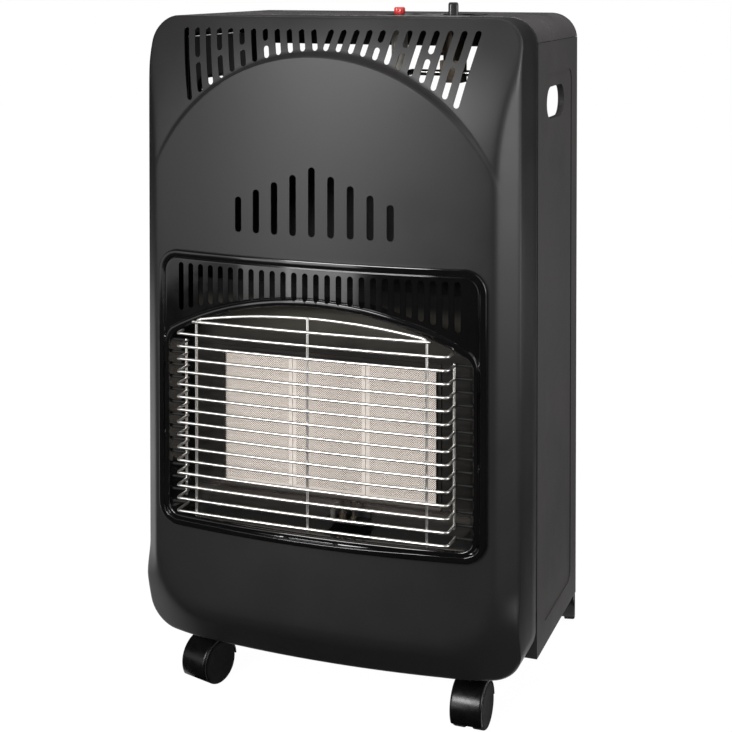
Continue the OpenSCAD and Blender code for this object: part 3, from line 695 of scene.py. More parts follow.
@dataclass(frozen=True)
class PlaqueCeramic:
    """Cream fired ceramic with a field of fine flame holes between plain margins.

    Holes stand at the corners and middles of squares, so every other row is shifted by
    half a pitch; a hole is painted dark, as the shade inside it, where the distance to its centre is under
    its radius.
    Frame coordinates put the holes of all plaques in the same straight rows.
    """

    name: str = "fired_ceramic"
    cream: Colour = (0.90, 0.82, 0.745)
    shade: Colour = (0.85, 0.76, 0.68)
    # Painted shade: the dark inside of each flame hole.
    hole: Colour = (0.06, 0.045, 0.035)
    pitch: float = 2.4
    row_pitch: float = 2.16
    hole_radius: float = 0.58
    side_margin: float = 4.25
    end_margin: float = 2.5
    plaque_pitch: float = 83.1
    low: float = 238.5
    high: float = 379.8

    def material(self) -> bpy.types.Material:
        """Builds the material.

        Returns:
            A Principled material with the holes in its colour and its bump.
        """
        shader = Shader(bpy.data.materials.new(self.name))
        place = shader.place()
        x, z = shader.along(place, "X"), shader.along(place, "Z")
        patches = shader.spread(shader.noise(place, 26.0, 4.0), 0.3, 0.7)
        spots = []
        for shift in (0.0, 0.5):
            u = self._from_nearest(x / self.pitch + shift)
            v = self._from_nearest(z / self.row_pitch + shift)
            away = (u * u + v * v) ** 0.5 * self.pitch
            spots.append(1 - shader.spread(away, self.hole_radius * 0.7, self.hole_radius * 1.25))
        from_middle = abs(self._from_nearest(x / self.plaque_pitch)) * self.plaque_pitch
        inside = from_middle < self.plaque_pitch / 2 - self.side_margin
        inside = inside * (z > self.low + self.end_margin) * (z < self.high - self.end_margin)
        holes = (spots[0] + spots[1]) * inside
        cream = shader.mix(patches, self.cream, self.shade)
        cream = shader.mix(inside, dimmed(self.cream, 0.80), cream)
        grit = shader.noise(place, 0.8, 2.0)
        # The holes' dark colour is painted shade; the bump also sinks them.
        return shader.finish(Base_Color=shader.mix(holes, cream, self.hole),
                             Roughness=shader.spread(grit, 0.3, 0.7, 0.78, 0.9),
                             Specular_IOR_Level=0.3, Normal=shader.bump(grit * 0.15 - holes, 0.25))

    def _from_nearest(self, value: Signal) -> Signal:
        """The signed distance from a value to the nearest whole number."""
        return value - value.nearest()


@dataclass(frozen=True)
class HeatedSteel:
    """Plain steel that the burner has tinted olive, darker towards the plaques, where the near-black is
    burner tint and painted shade.

    Each band is the two heights between which a tint comes up from 0 to 1: the near-black
    brownish tint below, which is burner tint and painted shade; the black at the top, which is sooting and
    the painted shadow of the surround's lip; and the upper and lower end of the foot's polished strip.
    """

    name: str = "heated_steel"
    olive: Colour = (0.044, 0.040, 0.031)
    bright: Colour = (0.085, 0.076, 0.070)
    # Near-black burner tint, and painted shade on the reflector beside the plaques.
    tint_and_shade_brown: Colour = (0.0050, 0.0042, 0.0036)
    # Sooting, and the painted shadow that the surround's lip casts at the top.
    black: Colour = (0.003, 0.003, 0.003)
    roughness: float = 0.42
    # Below this band the reflector is painted near black: burner tint and painted shade.
    heat_and_shade_band: tuple[float, float] = (425.0, 400.0)
    # Black at the top: sooting and the painted shadow of the surround's lip.
    soot_and_shadow_band: tuple[float, float] = (428.0, 442.0)
    polish_top: tuple[float, float] = (239.0, 234.0)
    polish_foot: tuple[float, float] = (219.0, 231.0)

    def material(self) -> bpy.types.Material:
        """Builds the material.

        Returns:
            A Principled material whose tints change with the height.
        """
        shader = Shader(bpy.data.materials.new(self.name))
        place = shader.place()
        z = shader.along(place, "Z")
        streak = shader.noise(shader.stretched(place, (0.15, 1.0, 1.0)), 5.0)
        # Painted shade with burner tint: near black below the band.
        heat_and_shade = shader.spread(z + shader.noise(place, 45.0) * 16, *self.heat_and_shade_band)
        # Painted shadow of the surround's lip, with sooting, at the top.
        soot_and_shadow = shader.spread(z, *self.soot_and_shadow_band)
        polish = shader.spread(z, *self.polish_top) * shader.spread(z, *self.polish_foot)
        tone = shader.mix(heat_and_shade, self.olive, self.tint_and_shade_brown)
        tone = shader.mix(shader.spread(streak, 0.4, 0.75, 0.0, 0.5), tone, dimmed(self.olive, 0.6))
        tone = shader.mix(soot_and_shadow, tone, self.black)
        tone = shader.mix(polish, tone, self.bright)
        rough = self.roughness + streak * 0.12 + soot_and_shadow * 0.3 - polish * 0.24
        return shader.finish(Base_Color=tone, Metallic=0.35 + polish * 0.5, Specular_IOR_Level=0.3,
                             Roughness=rough, Normal=shader.bump(streak, 0.03))


class Finishes:
    """Every finish of the heater, built once and handed out by name."""

    PLAIN = (
        Finish("bronze_enamel", Pattern.ORANGE_PEEL, (0.0105, 0.0097, 0.0097), (0.0122, 0.0112, 0.0112),
               0.40, 0.03, 150.0, 1.6, 0.006, specular=0.42),
        Finish("gloss_enamel", Pattern.ORANGE_PEEL, (0.0030, 0.0028, 0.0030), (0.0040, 0.0036, 0.0036),
               0.09, 0.03, 70.0, 5.0, 0.004),
        Finish("panel_powder", Pattern.POWDER, (0.040, 0.038, 0.038), (0.047, 0.044, 0.043),
               0.55, 0.05, 120.0, 0.9, 0.03, specular=0.35),
        # Painted light from above: the top cover's powder colour is twice the side panels'.
        Finish("lit_cap_powder", Pattern.POWDER, (0.082, 0.078, 0.078), (0.090, 0.085, 0.085),
               0.25, 0.05, 140.0, 0.9, 0.006, specular=0.65),
        Finish("black_powder", Pattern.POWDER, (0.014, 0.014, 0.014), (0.019, 0.018, 0.018),
               0.55, 0.06, 90.0, 1.1, 0.03, specular=0.35),
        Finish("plated_wire", Pattern.MOULDED, (0.74, 0.725, 0.70), (0.66, 0.645, 0.625),
               0.36, 0.05, 30.0, 2.0, 0.006, metallic=1.0),
        # Painted shade: steel made near black where it lies in shade, as the heat shield inside the cabinet
        # and the guard's hook ends.
        Finish("shade_dark_steel", Pattern.ROLLED, (0.012, 0.0115, 0.011), (0.008, 0.0078, 0.0075),
               0.60, 0.08, 60.0, 6.0, 0.01, metallic=0.2, specular=0.25),
        Finish("rolled_steel", Pattern.ROLLED, (0.47, 0.46, 0.44), (0.38, 0.37, 0.355),
               0.36, 0.08, 60.0, 6.0, 0.01, metallic=0.9),
        Finish("drawn_tube", Pattern.ROLLED, (0.60, 0.59, 0.57), (0.50, 0.49, 0.47),
               0.28, 0.06, 30.0, 4.0, 0.006, metallic=1.0),
        Finish("turned_brass", Pattern.TURNED, (0.62, 0.43, 0.17), (0.50, 0.33, 0.12),
               0.28, 0.06, 12.0, 5.0, 0.01, metallic=1.0),
        Finish("tarnished_brass", Pattern.TURNED, (0.130, 0.105, 0.080), (0.070, 0.055, 0.043),
               0.42, 0.08, 12.0, 5.0, 0.01, metallic=0.8),
        Finish("sooted_ceramic", Pattern.MOULDED, (0.110, 0.102, 0.094), (0.060, 0.055, 0.050),
               0.55, 0.06, 12.0, 0.8, 0.02),
        Finish("knob_black", Pattern.MOULDED, (0.010, 0.010, 0.010), (0.014, 0.014, 0.014),
               0.30, 0.06, 16.0, 0.6, 0.015),
        Finish("button_red", Pattern.MOULDED, (0.50, 0.022, 0.018), (0.42, 0.016, 0.014),
               0.30, 0.05, 8.0, 0.5, 0.012, coat=0.2),
        Finish("pan_black", Pattern.MOULDED, (0.014, 0.014, 0.014), (0.019, 0.019, 0.019),
               0.48, 0.06, 30.0, 0.7, 0.025),
        Finish("igniter_white", Pattern.MOULDED, (0.66, 0.63, 0.57), (0.60, 0.565, 0.50),
               0.42, 0.06, 12.0, 0.8, 0.02),
        Finish("castor_nylon", Pattern.MOULDED, (0.0022, 0.0022, 0.0023), (0.0032, 0.0032, 0.0032),
               0.28, 0.05, 18.0, 0.8, 0.012, specular=0.3),
        Finish("tyre_black", Pattern.MOULDED, (0.0022, 0.0022, 0.0023), (0.0032, 0.0032, 0.0032),
               0.72, 0.05, 18.0, 0.8, 0.012, specular=0.08),
        Finish("castor_plating", Pattern.TURNED, (0.52, 0.52, 0.52), (0.42, 0.42, 0.42),
               0.30, 0.06, 10.0, 3.0, 0.01, metallic=1.0),
    )
    NODES = {
        "panel_powder": ("side_panel_left", "side_panel_right"),
        # The top cover's lighter colour is painted light from above.
        "lit_cap_powder": ("top_cover",),
        "black_powder": ("rear_rail", "base_tray", "rear_cover"),
        # Painted shade: these steel parts are darkened for the shade they lie in.
        "shade_dark_steel": ("heat_shield", "pilot_bracket", "valve_collar"),
        "rolled_steel": ("manifold", "manifold_bracket", "burner_chamber_left",
                         "burner_chamber_middle", "burner_chamber_right"),
        "drawn_tube": ("feed_pipe", "inlet_pipe"),
        "turned_brass": ("valve_spindle", "gas_inlet", "injectors"),
        "tarnished_brass": ("gas_valve", "pilot_burner", "thermocouple"),
        "pan_black": ("control_pan",),
        "igniter_white": ("igniter_body",),
        "sooted_ceramic": ("spark_electrode",),
        "fired_ceramic": ("ceramic_plaque_left", "ceramic_plaque_middle", "ceramic_plaque_right"),
        "heated_steel": ("reflector", "plaque_frame"),
        "castor_plating": ("castor_sockets",
                           *(f"castor_{metal}_{corner}" for metal in ("stem", "axle") for corner in CORNERS)),
    }

    def __init__(self) -> None:
        """Builds every material."""
        self.made = {f.name: f.material() for f in (*self.PLAIN, PlaqueCeramic(), HeatedSteel())}

    def dress(self, piece: bpy.types.Object, name: str) -> None:
        """Gives a piece or a CAD node one finish."""
        piece.data.materials.clear()
        piece.data.materials.append(self.made[name])

    def dress_nodes(self, frame: Frame) -> None:
        """Gives the CAD nodes that stay in view their finishes.

        Args:
            frame: Holds the nodes.
        """
        for name, nodes in self.NODES.items():
            for node in nodes:
                self.dress(frame.nodes[node], name)
                log.info("node %s: %s", node, name)


@dataclass
class Workshop:
    """What every sub-assembly needs: the frame, the finishes and the way to hand a piece in."""

    frame: Frame
    finishes: Finishes

    def hand_in(self, piece: bpy.types.Object, finish: str, body: str,
                replaced: Sequence[str] = (), angle: float = 32.0) -> None:
        """Shades and dresses a piece and says what it rides on and stands for.

        Args:
            piece: The finished mesh object.
            finish: Name of its finish.
            body: The CAD body that it moves with.
            replaced: CAD nodes that it stands for.
            angle: Edges above this many degrees stay sharp.
        """
        piece.data.shade_smooth()
        piece.data.set_sharp_from_angle(angle=math.radians(angle))
        self.finishes.dress(piece, finish)
        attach(piece, body)
        if replaced:
            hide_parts(*replaced)
        log.info("piece %s: %d faces on %s", piece.name, len(piece.data.polygons), body)


# ---- front housing ----


@dataclass
class Housing:
    """Pressed front of the cabinet: a bowed plateau under an arch, with a vent band above it."""

    half_width: float = 210.0
    low: float = 66.0
    top: float = 741.0
    corner: float = 30.0
    sheet: float = 1.5
    bow: float = 1000.0
    flat_half: float = 190.5
    bevel_depth: float = 23.0
    low_bevel: float = 37.0
    ridge_round: float = 3.0
    plateau_corner: float = 60.0
    arch_top: float = 703.0
    arch_radius: float = 208.0
    ledge_start: float = -2.6
    ledge_end: float = 3.2
    step: float = 0.8
    lean_radius: float = 380.0
    lean_start: float = 578.0
    margin: float = 6.0
    side_ease: float = 3.6
    top_ease: float = 1.8
    seam_gap: float = 4.5
    seam_fold: float = 1.5
    flange: float = 15.0
    flange_low: float = 110.0
    # A black strip in the seam paints its shadow line.
    seam_shadow_inset: float = 0.9
    seam_shadow_width: float = 3.0
    seam_shadow_lap: float = 0.5
    window_half: float = 172.0
    window_low: float = 204.5
    window_high: float = 482.0
    window_corner: float = 12.0
    castor_x: float = 150.0
    castor_depth: float = 73.0
    castor_hole: float = 9.0
    knife_front: float = -45.0
    knife_back: float = 60.0

    def __post_init__(self) -> None:
        """Works out the bow's depth and the height of the arch's middle."""
        self.bow_depth = self.flat_half**2 / (2 * self.bow)
        self.arch_z = self.arch_top - self.arch_radius

    def bow_line(self, x: Array, radius: Array | float) -> Array:
        """Depth at x of an upright cylinder whose axis lies one bow radius behind the front."""
        return self.bow - self.bow_depth - np.sqrt(np.maximum(radius**2 - x**2, 0.0))

    def depth(self, x: Array, z: Array) -> Array:
        """Depth of the outer face.

        The face is the plateau's bow below the arch and the leaning band above it, joined
        by a rounded step, and then whichever lies deeper: that face or the bevels. The
        side and lower bevels meet on a cone round each lower corner of the plateau.

        Args:
            x: Places across.
            z: Heights.

        Returns:
            Depths behind the front line, which are negative in front of it.
        """
        beyond = np.hypot(x, np.maximum(z - self.arch_z, 0.0)) - self.arch_radius
        above = smooth_step(self.ledge_start, self.ledge_end, beyond)
        rise = np.maximum(z - self.lean_start, 0.0)
        lean = self.lean_radius - np.sqrt(self.lean_radius**2 - rise**2)
        face = self.bow_line(x, self.bow - above * (self.step + lean))
        side_slope = self.bevel_depth / (self.half_width - self.flat_half)
        low_slope = self.bevel_depth / self.low_bevel
        r = self.plateau_corner
        cx, cz = self.flat_half - r, self.low + self.low_bevel + r
        dx, dz = np.maximum(np.abs(x) - cx, 0.0), np.maximum(cz - z, 0.0)
        away = np.maximum(np.hypot(dx, dz), 1e-6)
        slope = side_slope + (low_slope - side_slope) * smooth_step(0.0, 0.45, dz / away)
        edge_x = np.where(dz > 0, np.minimum(np.abs(x), cx) + r * dx / away, self.flat_half)
        bevel = self.bow_line(np.minimum(edge_x, self.flat_half), self.bow) + (away - r) * slope
        far_in_front = -1e3
        bevel = np.where((dx <= 0) & (dz <= 0), far_in_front, bevel)
        return smooth_max(face, bevel, self.ridge_round)

    def half_at(self, z: Array) -> Array:
        """Half width of the outline drawn in by the margin, at a height.

        Args:
            z: Heights.

        Returns:
            Half widths.
        """
        r = self.corner - self.margin
        low, high = self.low + self.corner, self.top - self.corner
        off = np.maximum(np.maximum(low - z, z - high), 0.0)
        return self.half_width - self.margin - r + np.sqrt(np.maximum(r**2 - off**2, 0.0))

    def face_grid(self) -> Array:
        """Front face inside the margin, its rows bent so that they follow the arch.

        A row's height runs from straight rows at the foot, through rows at set distances
        square to the arch, to straight rows at the top. A point's x is its share of the
        outline's half width at that height. Columns are closer near the sides.

        Returns:
            Points as [row, column, axis].
        """
        inner, even = self.half_width - self.margin, 180.0
        flat = np.linspace(-even, even, 121)
        side = even + (inner - even) * np.linspace(0, 1, 17)[1:]
        x0 = np.concatenate([-side[::-1], flat, side])[None, :]
        arch = self.arch_z + np.sqrt(self.arch_radius**2 - x0**2)
        stretch = self.arch_radius / (arch - self.arch_z)
        quarter = np.linspace(0, 1, 11)[:, None]
        r = self.corner - self.margin
        low, high = self.low + self.corner, self.top - self.corner
        foot = low - r * np.cos(quarter * np.pi / 2) + 0 * x0
        from_arch = [-6, -4, -2.6, -1.8, -1.2, -0.7, -0.2, 0.3, 0.8, 1.3, 1.9, 2.8, 4, 6]
        ring = arch + np.array(from_arch)[:, None] * stretch
        lower = low + (ring[:1] - low) * np.linspace(0, 1, 76)[1:-1, None]
        upper = ring[-1:] + (high - ring[-1:]) * np.linspace(0, 1, 20)[1:-1, None]
        head = high + r * np.sin(quarter * np.pi / 2) + 0 * x0
        z = np.concatenate([foot, lower, ring, upper, head])
        x = x0 / inner * self.half_at(z)
        return stack(x, self.depth(x, z), z)

    def rim_grid(self, face: Array) -> Array:
        """Strips from the face's edge over the ridge, back along the walls and in to the flange.

        The ridge is a quadratic curve between the face and the wall behind it, and so is
        the fold at the seam. Rows run outward and back, columns anticlockwise.

        Args:
            face: The front face's points.

        Returns:
            Points as [row, column, axis].
        """
        loop = np.concatenate([face[0, :-1], face[:-1, -1], face[-1, :0:-1], face[:0:-1, 0]])
        x, z = loop[:, 0], loop[:, 2]
        middle_x = np.clip(x, -(self.half_width - self.corner), self.half_width - self.corner)
        middle_z = np.clip(z, self.low + self.corner, self.top - self.corner)
        nx, nz = unit(stack(x - middle_x, z - middle_z)).T
        ease = self.side_ease - (self.side_ease - self.top_ease) * np.maximum(nz, 0.0)

        def on_face(out: Array | float) -> Array:
            """The loop on the outer face, let out by a distance."""
            return stack(x + nx * out, self.depth(x + nx * out, z + nz * out), z + nz * out)

        def on_wall(y: float, out: float = self.margin) -> Array:
            """The loop at a depth behind the face, let out by a distance."""
            return stack(x + nx * out, y, z + nz * out)

        ridge = on_face(np.full(len(x), self.margin))
        behind = ridge + stack(0 * x, ease, 0 * x)
        t = np.linspace(0, 1, 7)[:, None, None]
        seam = SEAM_DEPTH - self.seam_gap
        before, after = on_wall(seam - self.seam_fold), on_wall(seam, self.margin - self.seam_fold)
        return np.concatenate([
            on_face(0.0)[None], on_face((self.margin - ease) / 2)[None],
            curve(on_face(self.margin - ease), ridge, behind, t), on_wall(50.0)[None], on_wall(70.0)[None],
            curve(before, on_wall(seam), after, t)[::2], on_wall(seam, self.margin - self.flange)[None]])

    def top_slots(self) -> list[Array]:
        """Slots of the vent band, which lean towards the middle and stand on the arch.

        Returns:
            One outline for each slot.
        """
        pitch, first, width, lean, count = 14.1, 10.4, 6.2, math.tan(math.radians(12.8)), 12
        high_z, bridge, bridged = 728.5, 5.7, (4, 6, 8, 10)
        radius = self.arch_radius + 3.3
        slots = []
        for k in range(count):
            x_top = first + k * pitch
            x_low = x_top - lean * (high_z - self.arch_z - math.sqrt(radius**2 - x_top**2))
            z_low = self.arch_z + math.sqrt(radius**2 - x_low**2) + width / 2
            high = np.array([x_top - lean * width / 2, high_z - width / 2])
            low = np.array([x_top - lean * (high_z - z_low), z_low])
            if k in bridged:
                gap = unit(high - low) * bridge
                middle = (high + low) / 2
                slots += [capsule(low, middle - gap, width), capsule(middle + gap, high, width)]
            else:
                slots.append(capsule(low, high, width))
        mirrored = [(slot * np.array([-1.0, 1.0]))[::-1] for slot in slots]
        return slots + mirrored

    def middle_slots(self) -> list[Array]:
        """Nine upright slots of the plateau, longest in the middle.

        Returns:
            One outline for each slot.
        """
        pitch, width, foot, longest, fall = 21.1, 7.5, 516.0, 72.0, 8.7
        low, high = foot + width / 2, foot + longest - width / 2
        return [capsule((k * pitch, low), (k * pitch, high - abs(k) * fall), width) for k in range(-4, 5)]

    def build(self, shop: Workshop) -> None:
        """Makes the shell, gives it its wall and cuts its openings.

        Args:
            shop: Takes the pieces.
        """
        face = self.face_grid()
        rim = self.rim_grid(face)
        build = Build()
        build.add_grid(face, wrap=False, caps=False)
        rows, columns = rim.shape[:2]
        quads = grid_faces(rows, columns, wrap=True)[:, ::-1]
        on_flange = quads.min(axis=1) >= (rows - 2) * columns
        lowest = rim.reshape(-1, 3)[quads, 2].min(axis=1)
        build.add(rim, quads[~(on_flange & (lowest < self.flange_low))].tolist())
        shell = build.piece("front_shell", shop.frame, merge=0.01)
        thicken(shell, self.sheet)
        knife = Build()
        window = rounded_rectangle(-self.window_half, self.window_low, self.window_half, self.window_high,
                                   self.window_corner)
        for outline in (*self.top_slots(), *self.middle_slots(), window):
            prism(knife, outline, self.knife_front, self.knife_back)
        bore = [(self.castor_hole, -4.0), (self.castor_hole, 6.0)]
        for side in (-1, 1):
            lathe(knife, bore, (side * self.castor_x, self.castor_depth, self.low), sides=32)
        cut(shell, knife.piece("housing_knife", shop.frame))
        shop.hand_in(shell, "bronze_enamel", "cabinet", ["front_housing"], angle=38.0)
        self.build_seam_shadow(shop)

    def build_seam_shadow(self, shop: Workshop) -> None:
        """A black strip in the seam between the front's edge and the side panels: a painted shadow line.

        Args:
            shop: Takes the pieces.
        """
        inset = self.seam_shadow_inset
        outer = rounded_rectangle(-self.half_width + inset, self.low + inset, self.half_width - inset,
                                  self.top - inset, self.corner - inset)
        inner = outer - outline_normals(outer) * self.seam_shadow_width
        front, back = SEAM_DEPTH - self.seam_gap - self.seam_shadow_lap, SEAM_DEPTH
        corners = ((outer, front), (outer, back), (inner, back), (inner, front))
        points = np.concatenate([stack(ring[:, 0], y, ring[:, 1]) for ring, y in corners])
        high = outer[:, 1] > self.flange_low
        edge = np.flatnonzero(high & np.roll(high, -1))
        after = (edge + 1) % len(outer)
        starts = np.arange(4) * len(outer)
        quads = [stack(a + edge, a + after, b + after, b + edge) for a, b in zip(starts, np.roll(starts, -1))]
        build = Build()
        build.add(points, np.stack(quads, axis=1).reshape(-1, 4))
        # Painted shadow: a black strip where the seam shows as a dark line.
        shop.hand_in(build.piece("seam_gasket", shop.frame), "pan_black", "cabinet")


# ---- burner surround ----


@dataclass
class Surround:
    """Gloss frame of the burner: a beaded rim, a slotted field and a lip that rolls into the pocket.

    rim and lip are profiles [share of the width, rise in front of the plateau], and
    field_rows and pocket_rows are the rows' shares of the way across and in.
    """

    housing: Housing
    half_width: float = 182.7
    low: float = 196.0
    high: float = 492.0
    corner: float = 24.0
    field_rise: float = 3.0
    sheet: float = 1.2
    band: float = 9.0
    open_half: float = 169.0
    open_low: float = 208.5
    open_top: float = 444.0
    open_radius: float = 336.0
    open_corner: float = 14.0
    foot_corner: float = 12.0
    middle_z: float = 330.0
    pocket_half: float = 156.0
    pocket_end: float = 28.2
    slot_count: int = 26
    slot_pitch: float = 12.3
    slot_width: float = 6.2
    slot_top: float = 479.0
    slot_low: float = 450.0
    slot_arc: float = 544.0
    hole_radius: float = 1.8
    hole_x: float = 153.0
    rim: tuple[tuple[float, float], ...] = (
        (0.0, -0.2), (0.01, 2.4), (0.03, 3.8), (0.07, 4.55), (0.12, 4.75), (0.2, 4.8), (0.66, 4.8),
        (0.71, 4.7), (0.76, 4.3), (0.81, 3.4), (0.85, 2.75), (0.88, 2.55), (0.92, 2.6), (0.96, 2.85),
        (1.0, 3.0))
    lip: tuple[tuple[float, float], ...] = (
        (1.0, 3.0), (0.96, 2.85), (0.92, 2.75), (0.88, 2.9), (0.84, 3.5), (0.8, 4.1), (0.75, 4.4),
        (0.68, 4.5), (0.3, 4.5), (0.18, 4.3), (0.1, 3.9), (0.04, 3.1), (0.0, 1.6))
    field_rows: tuple[float, ...] = (0.03, 0.08, 0.16, 0.3, 0.5, 0.7, 0.84, 0.92, 0.97)
    pocket_rows: tuple[float, ...] = (0.12, 0.3, 0.6, 1.0)

    def opening(self) -> Array:
        """Outline of the opening: straight sides and foot under a wide arch, corners rounded.

        The upper corners' arcs touch the side and the arch from inside: their middle lies
        one corner radius in from the side and from the arch.

        Returns:
            The outline's points [across, up].
        """
        r = self.open_corner
        arch_z = self.open_top - self.open_radius
        cx = self.open_half - r
        cz = arch_z + math.sqrt((self.open_radius - r) ** 2 - cx**2)
        lean = math.degrees(math.atan2(cz - arch_z, cx))
        low_r = self.foot_corner
        lx, lz = self.open_half - low_r, self.open_low + low_r
        right = stack(self.open_half, np.linspace(lz, cz, 40, endpoint=False))
        left = stack(-self.open_half, np.linspace(cz, lz, 40, endpoint=False))
        foot = stack(np.linspace(-lx, lx, 60, endpoint=False), self.open_low)
        return np.concatenate([
            arc((lx, lz), low_r, -90, 0, 14), right, arc((cx, cz), r, 0, lean, 14),
            arc((0, arch_z), self.open_radius, lean, 180 - lean, 90),
            arc((-cx, cz), r, 180 - lean, 180, 14), left, arc((-lx, lz), low_r, 180, 270, 14), foot])

    def row(self, outline: Array, rise: float) -> Array:
        """Points of an outline that stand a distance in front of the plateau."""
        x = outline[:, 0]
        return stack(x, self.housing.bow_line(x, self.housing.bow + rise), outline[:, 1])

    def face_grid(self) -> Array:
        """Rows from the outer edge over the rim, across the field and the lip into the pocket.

        A row is the outer outline drawn in, or the opening's outline let out, by the row's
        distance, and stands in front of the plateau by the row's rise. Each point of the
        opening is the one in the same direction from the middle as its outer point.

        Returns:
            Points as [row, column, axis].
        """
        half = self.half_width
        outer = rounded_rectangle(-half, self.low, half, self.high, self.corner, 16, 3.0)
        middle = np.array([0.0, self.middle_z])
        opening = self.opening()
        angles = np.arctan2(*(opening - middle).T[::-1])
        wanted = np.arctan2(*(outer - middle).T[::-1])
        order = np.argsort(angles)

        def pick(points: Array) -> Array:
            """The opening's points or normals in the outer points' directions."""
            return stack(*[np.interp(wanted, angles[order], c[order], period=2 * np.pi) for c in points.T])

        inner = pick(opening)
        inner_normal = unit(pick(outline_normals(opening)))
        outer_normal = outline_normals(outer)
        room = np.linalg.norm(outer - inner, axis=1)
        rim_width = np.minimum(self.band, room * 0.56)[:, None]
        lip_width = np.minimum(self.band, room * 0.42)[:, None]
        start, end = outer - outer_normal * rim_width, inner + inner_normal * lip_width
        rows = [self.row(outer - outer_normal * (rim_width * share), rise) for share, rise in self.rim]
        rows += [self.row(start + (end - start) * share, self.field_rise) for share in self.field_rows]
        rows += [self.row(inner + inner_normal * (lip_width * share), rise) for share, rise in self.lip]
        x, y, z = rows[-1].T
        for share in self.pocket_rows:
            squeeze = 1 - (1 - self.pocket_half / self.open_half) * share
            rows.append(stack(x * squeeze, y + (self.pocket_end - y) * share, z))
        return np.array(rows)

    def build(self, shop: Workshop) -> None:
        """Makes the frame, cuts its slots and the holes for the guard's wires.

        Args:
            shop: Takes the pieces.
        """
        build = Build()
        build.add_grid(self.face_grid(), caps=False)
        frame = build.piece("surround_pressing", shop.frame, merge=0.005)
        thicken(frame, self.sheet, even=False)
        knife = Build()
        r = self.slot_width / 2
        for k in range(self.slot_count):
            x = (k - (self.slot_count - 1) / 2) * self.slot_pitch
            foot = self.slot_low - self.slot_arc + math.sqrt(self.slot_arc**2 - x**2)
            slot = capsule((x, foot + r), (x, self.slot_top - r), self.slot_width)
            prism(knife, slot, self.housing.knife_front, 20.0)
        bore = [(self.hole_radius, 0.0), (self.hole_radius, 24.0)]
        for wire in range(Guard.count - 1):
            z = Guard.low + wire * Guard.pitch
            for side in (-1, 1):
                lathe(knife, bore, (side * self.hole_x, Guard.hook_depth, z), (side, 0, 0), 14)
        cut(frame, knife.piece("surround_knife", shop.frame))
        shop.hand_in(frame, "gloss_enamel", "cabinet", ["surround"], angle=40.0)


# ---- wire guard ----


@dataclass
class Guard:
    """Plated wires bowed across the burner, welded to three uprights and a hoop.

    The long wires turn back at their ends; what reaches on into the surround's holes is
    a separate piece in near-black steel, painted shade.
    """

    wire: float = 1.5
    count: int = 15
    low: float = 219.0
    pitch: float = 13.45
    half: float = 149.4
    reach: float = 27.8
    bow: float = 3.9
    hook_depth: float = -2.0
    hook_end: float = 167.0
    top_hook_depth: float = -13.8
    side_depth: float = -6.0
    hoop_half: float = 127.2
    hoop_top: float = 434.0
    hoop_side: float = 423.0
    hoop_corner: float = 5.0
    lap: float = 2.4
    bend: float = 4.5

    def depth(self, x: Array | float) -> Array | float:
        """Depth of the bowed front: bow (x / half)^2 - reach - bow."""
        return self.bow * (x / self.half) ** 2 - self.reach - self.bow

    def cross_path(self, half: float, z: float, hook: float | None = None) -> Array:
        """Path of a long wire from its left end to its right one.

        Args:
            half: Half width of its bowed stretch.
            z: Its height.
            hook: Depth that its ends turn back to, or None for a straight end.

        Returns:
            The path's points.
        """
        x = np.linspace(0, half if hook is None else half - self.bend, 14)
        right = stack(x, self.depth(x), z)
        if hook is not None:
            corners = [right[-1], (half, self.depth(half), z), (half, hook, z)]
            right = np.concatenate([right[:-1], round_corners(corners, self.bend * 0.98)])
        left = (right * np.array([-1.0, 1.0, 1.0]))[:0:-1]
        return np.concatenate([left, right])

    def hoop_path(self, foot: float) -> Array:
        """Path of the hoop: two upright legs from the foot's height under a shallow arch.

        Args:
            foot: Height of the legs' lower ends.

        Returns:
            The path's points.
        """
        depth = self.depth(self.hoop_half) + self.lap
        rise = self.hoop_top - self.hoop_side
        radius = (self.hoop_half**2 + rise**2) / (2 * rise)
        flat = self.hoop_half - 6.0
        x = np.linspace(-flat, flat, 41)
        crown = stack(x, depth, self.hoop_top - radius + np.sqrt(radius**2 - x**2))
        leg = [crown[-1], (self.hoop_half, depth, self.hoop_side), (self.hoop_half, depth, foot)]
        right = round_corners(leg, self.hoop_corner)
        left = (right * np.array([-1.0, 1.0, 1.0]))[::-1]
        return np.concatenate([left[:-1], crown, right[1:]])

    def build(self, shop: Workshop) -> None:
        """Bends every wire and joins them into one welded piece, and the ends into another, which is darkened
        as painted shade.

        Args:
            shop: Takes the pieces.
        """
        wires, ends = Build(), Build()
        for k in range(self.count - 1):
            z = self.low + k * self.pitch
            tube(wires, self.cross_path(self.half, z, self.hook_depth), self.wire, UP)
            for side in (-1, 1):
                across = side * np.array([self.half, (self.half + self.hook_end) / 2, self.hook_end])
                tube(ends, stack(across, self.hook_depth, z), self.wire, UP)
        top_z = self.low + (self.count - 1) * self.pitch
        tube(wires, self.cross_path(self.half, top_z, self.top_hook_depth), self.wire, UP)
        tube(wires, self.cross_path(self.hoop_half + 2 * self.wire, self.hoop_side - 2.0), self.wire, UP)
        foot = self.low - 2 * self.wire
        tube(wires, self.hoop_path(foot), self.wire, AHEAD)
        upright = stack(0.0, self.depth(0.0) + self.lap, np.linspace(foot, self.hoop_top, 8))
        tube(wires, upright, self.wire, AHEAD)
        heights = np.linspace(self.low + self.pitch - 2 * self.wire, top_z - self.pitch + self.wire, 8)
        for side in (-1, 1):
            tube(wires, stack(side * self.half, self.side_depth, heights), self.wire, AHEAD)
        guard = wires.piece("guard_wires", shop.frame)
        shop.hand_in(guard, "plated_wire", "cabinet", ["wire_guard"], angle=60.0)
        # Painted shade: the hook ends are plated wire, darkened to near black as they lie in shade.
        hooks = ends.piece("guard_hooks", shop.frame)
        shop.hand_in(hooks, "shade_dark_steel", "cabinet", angle=60.0)


# ---- controls ----


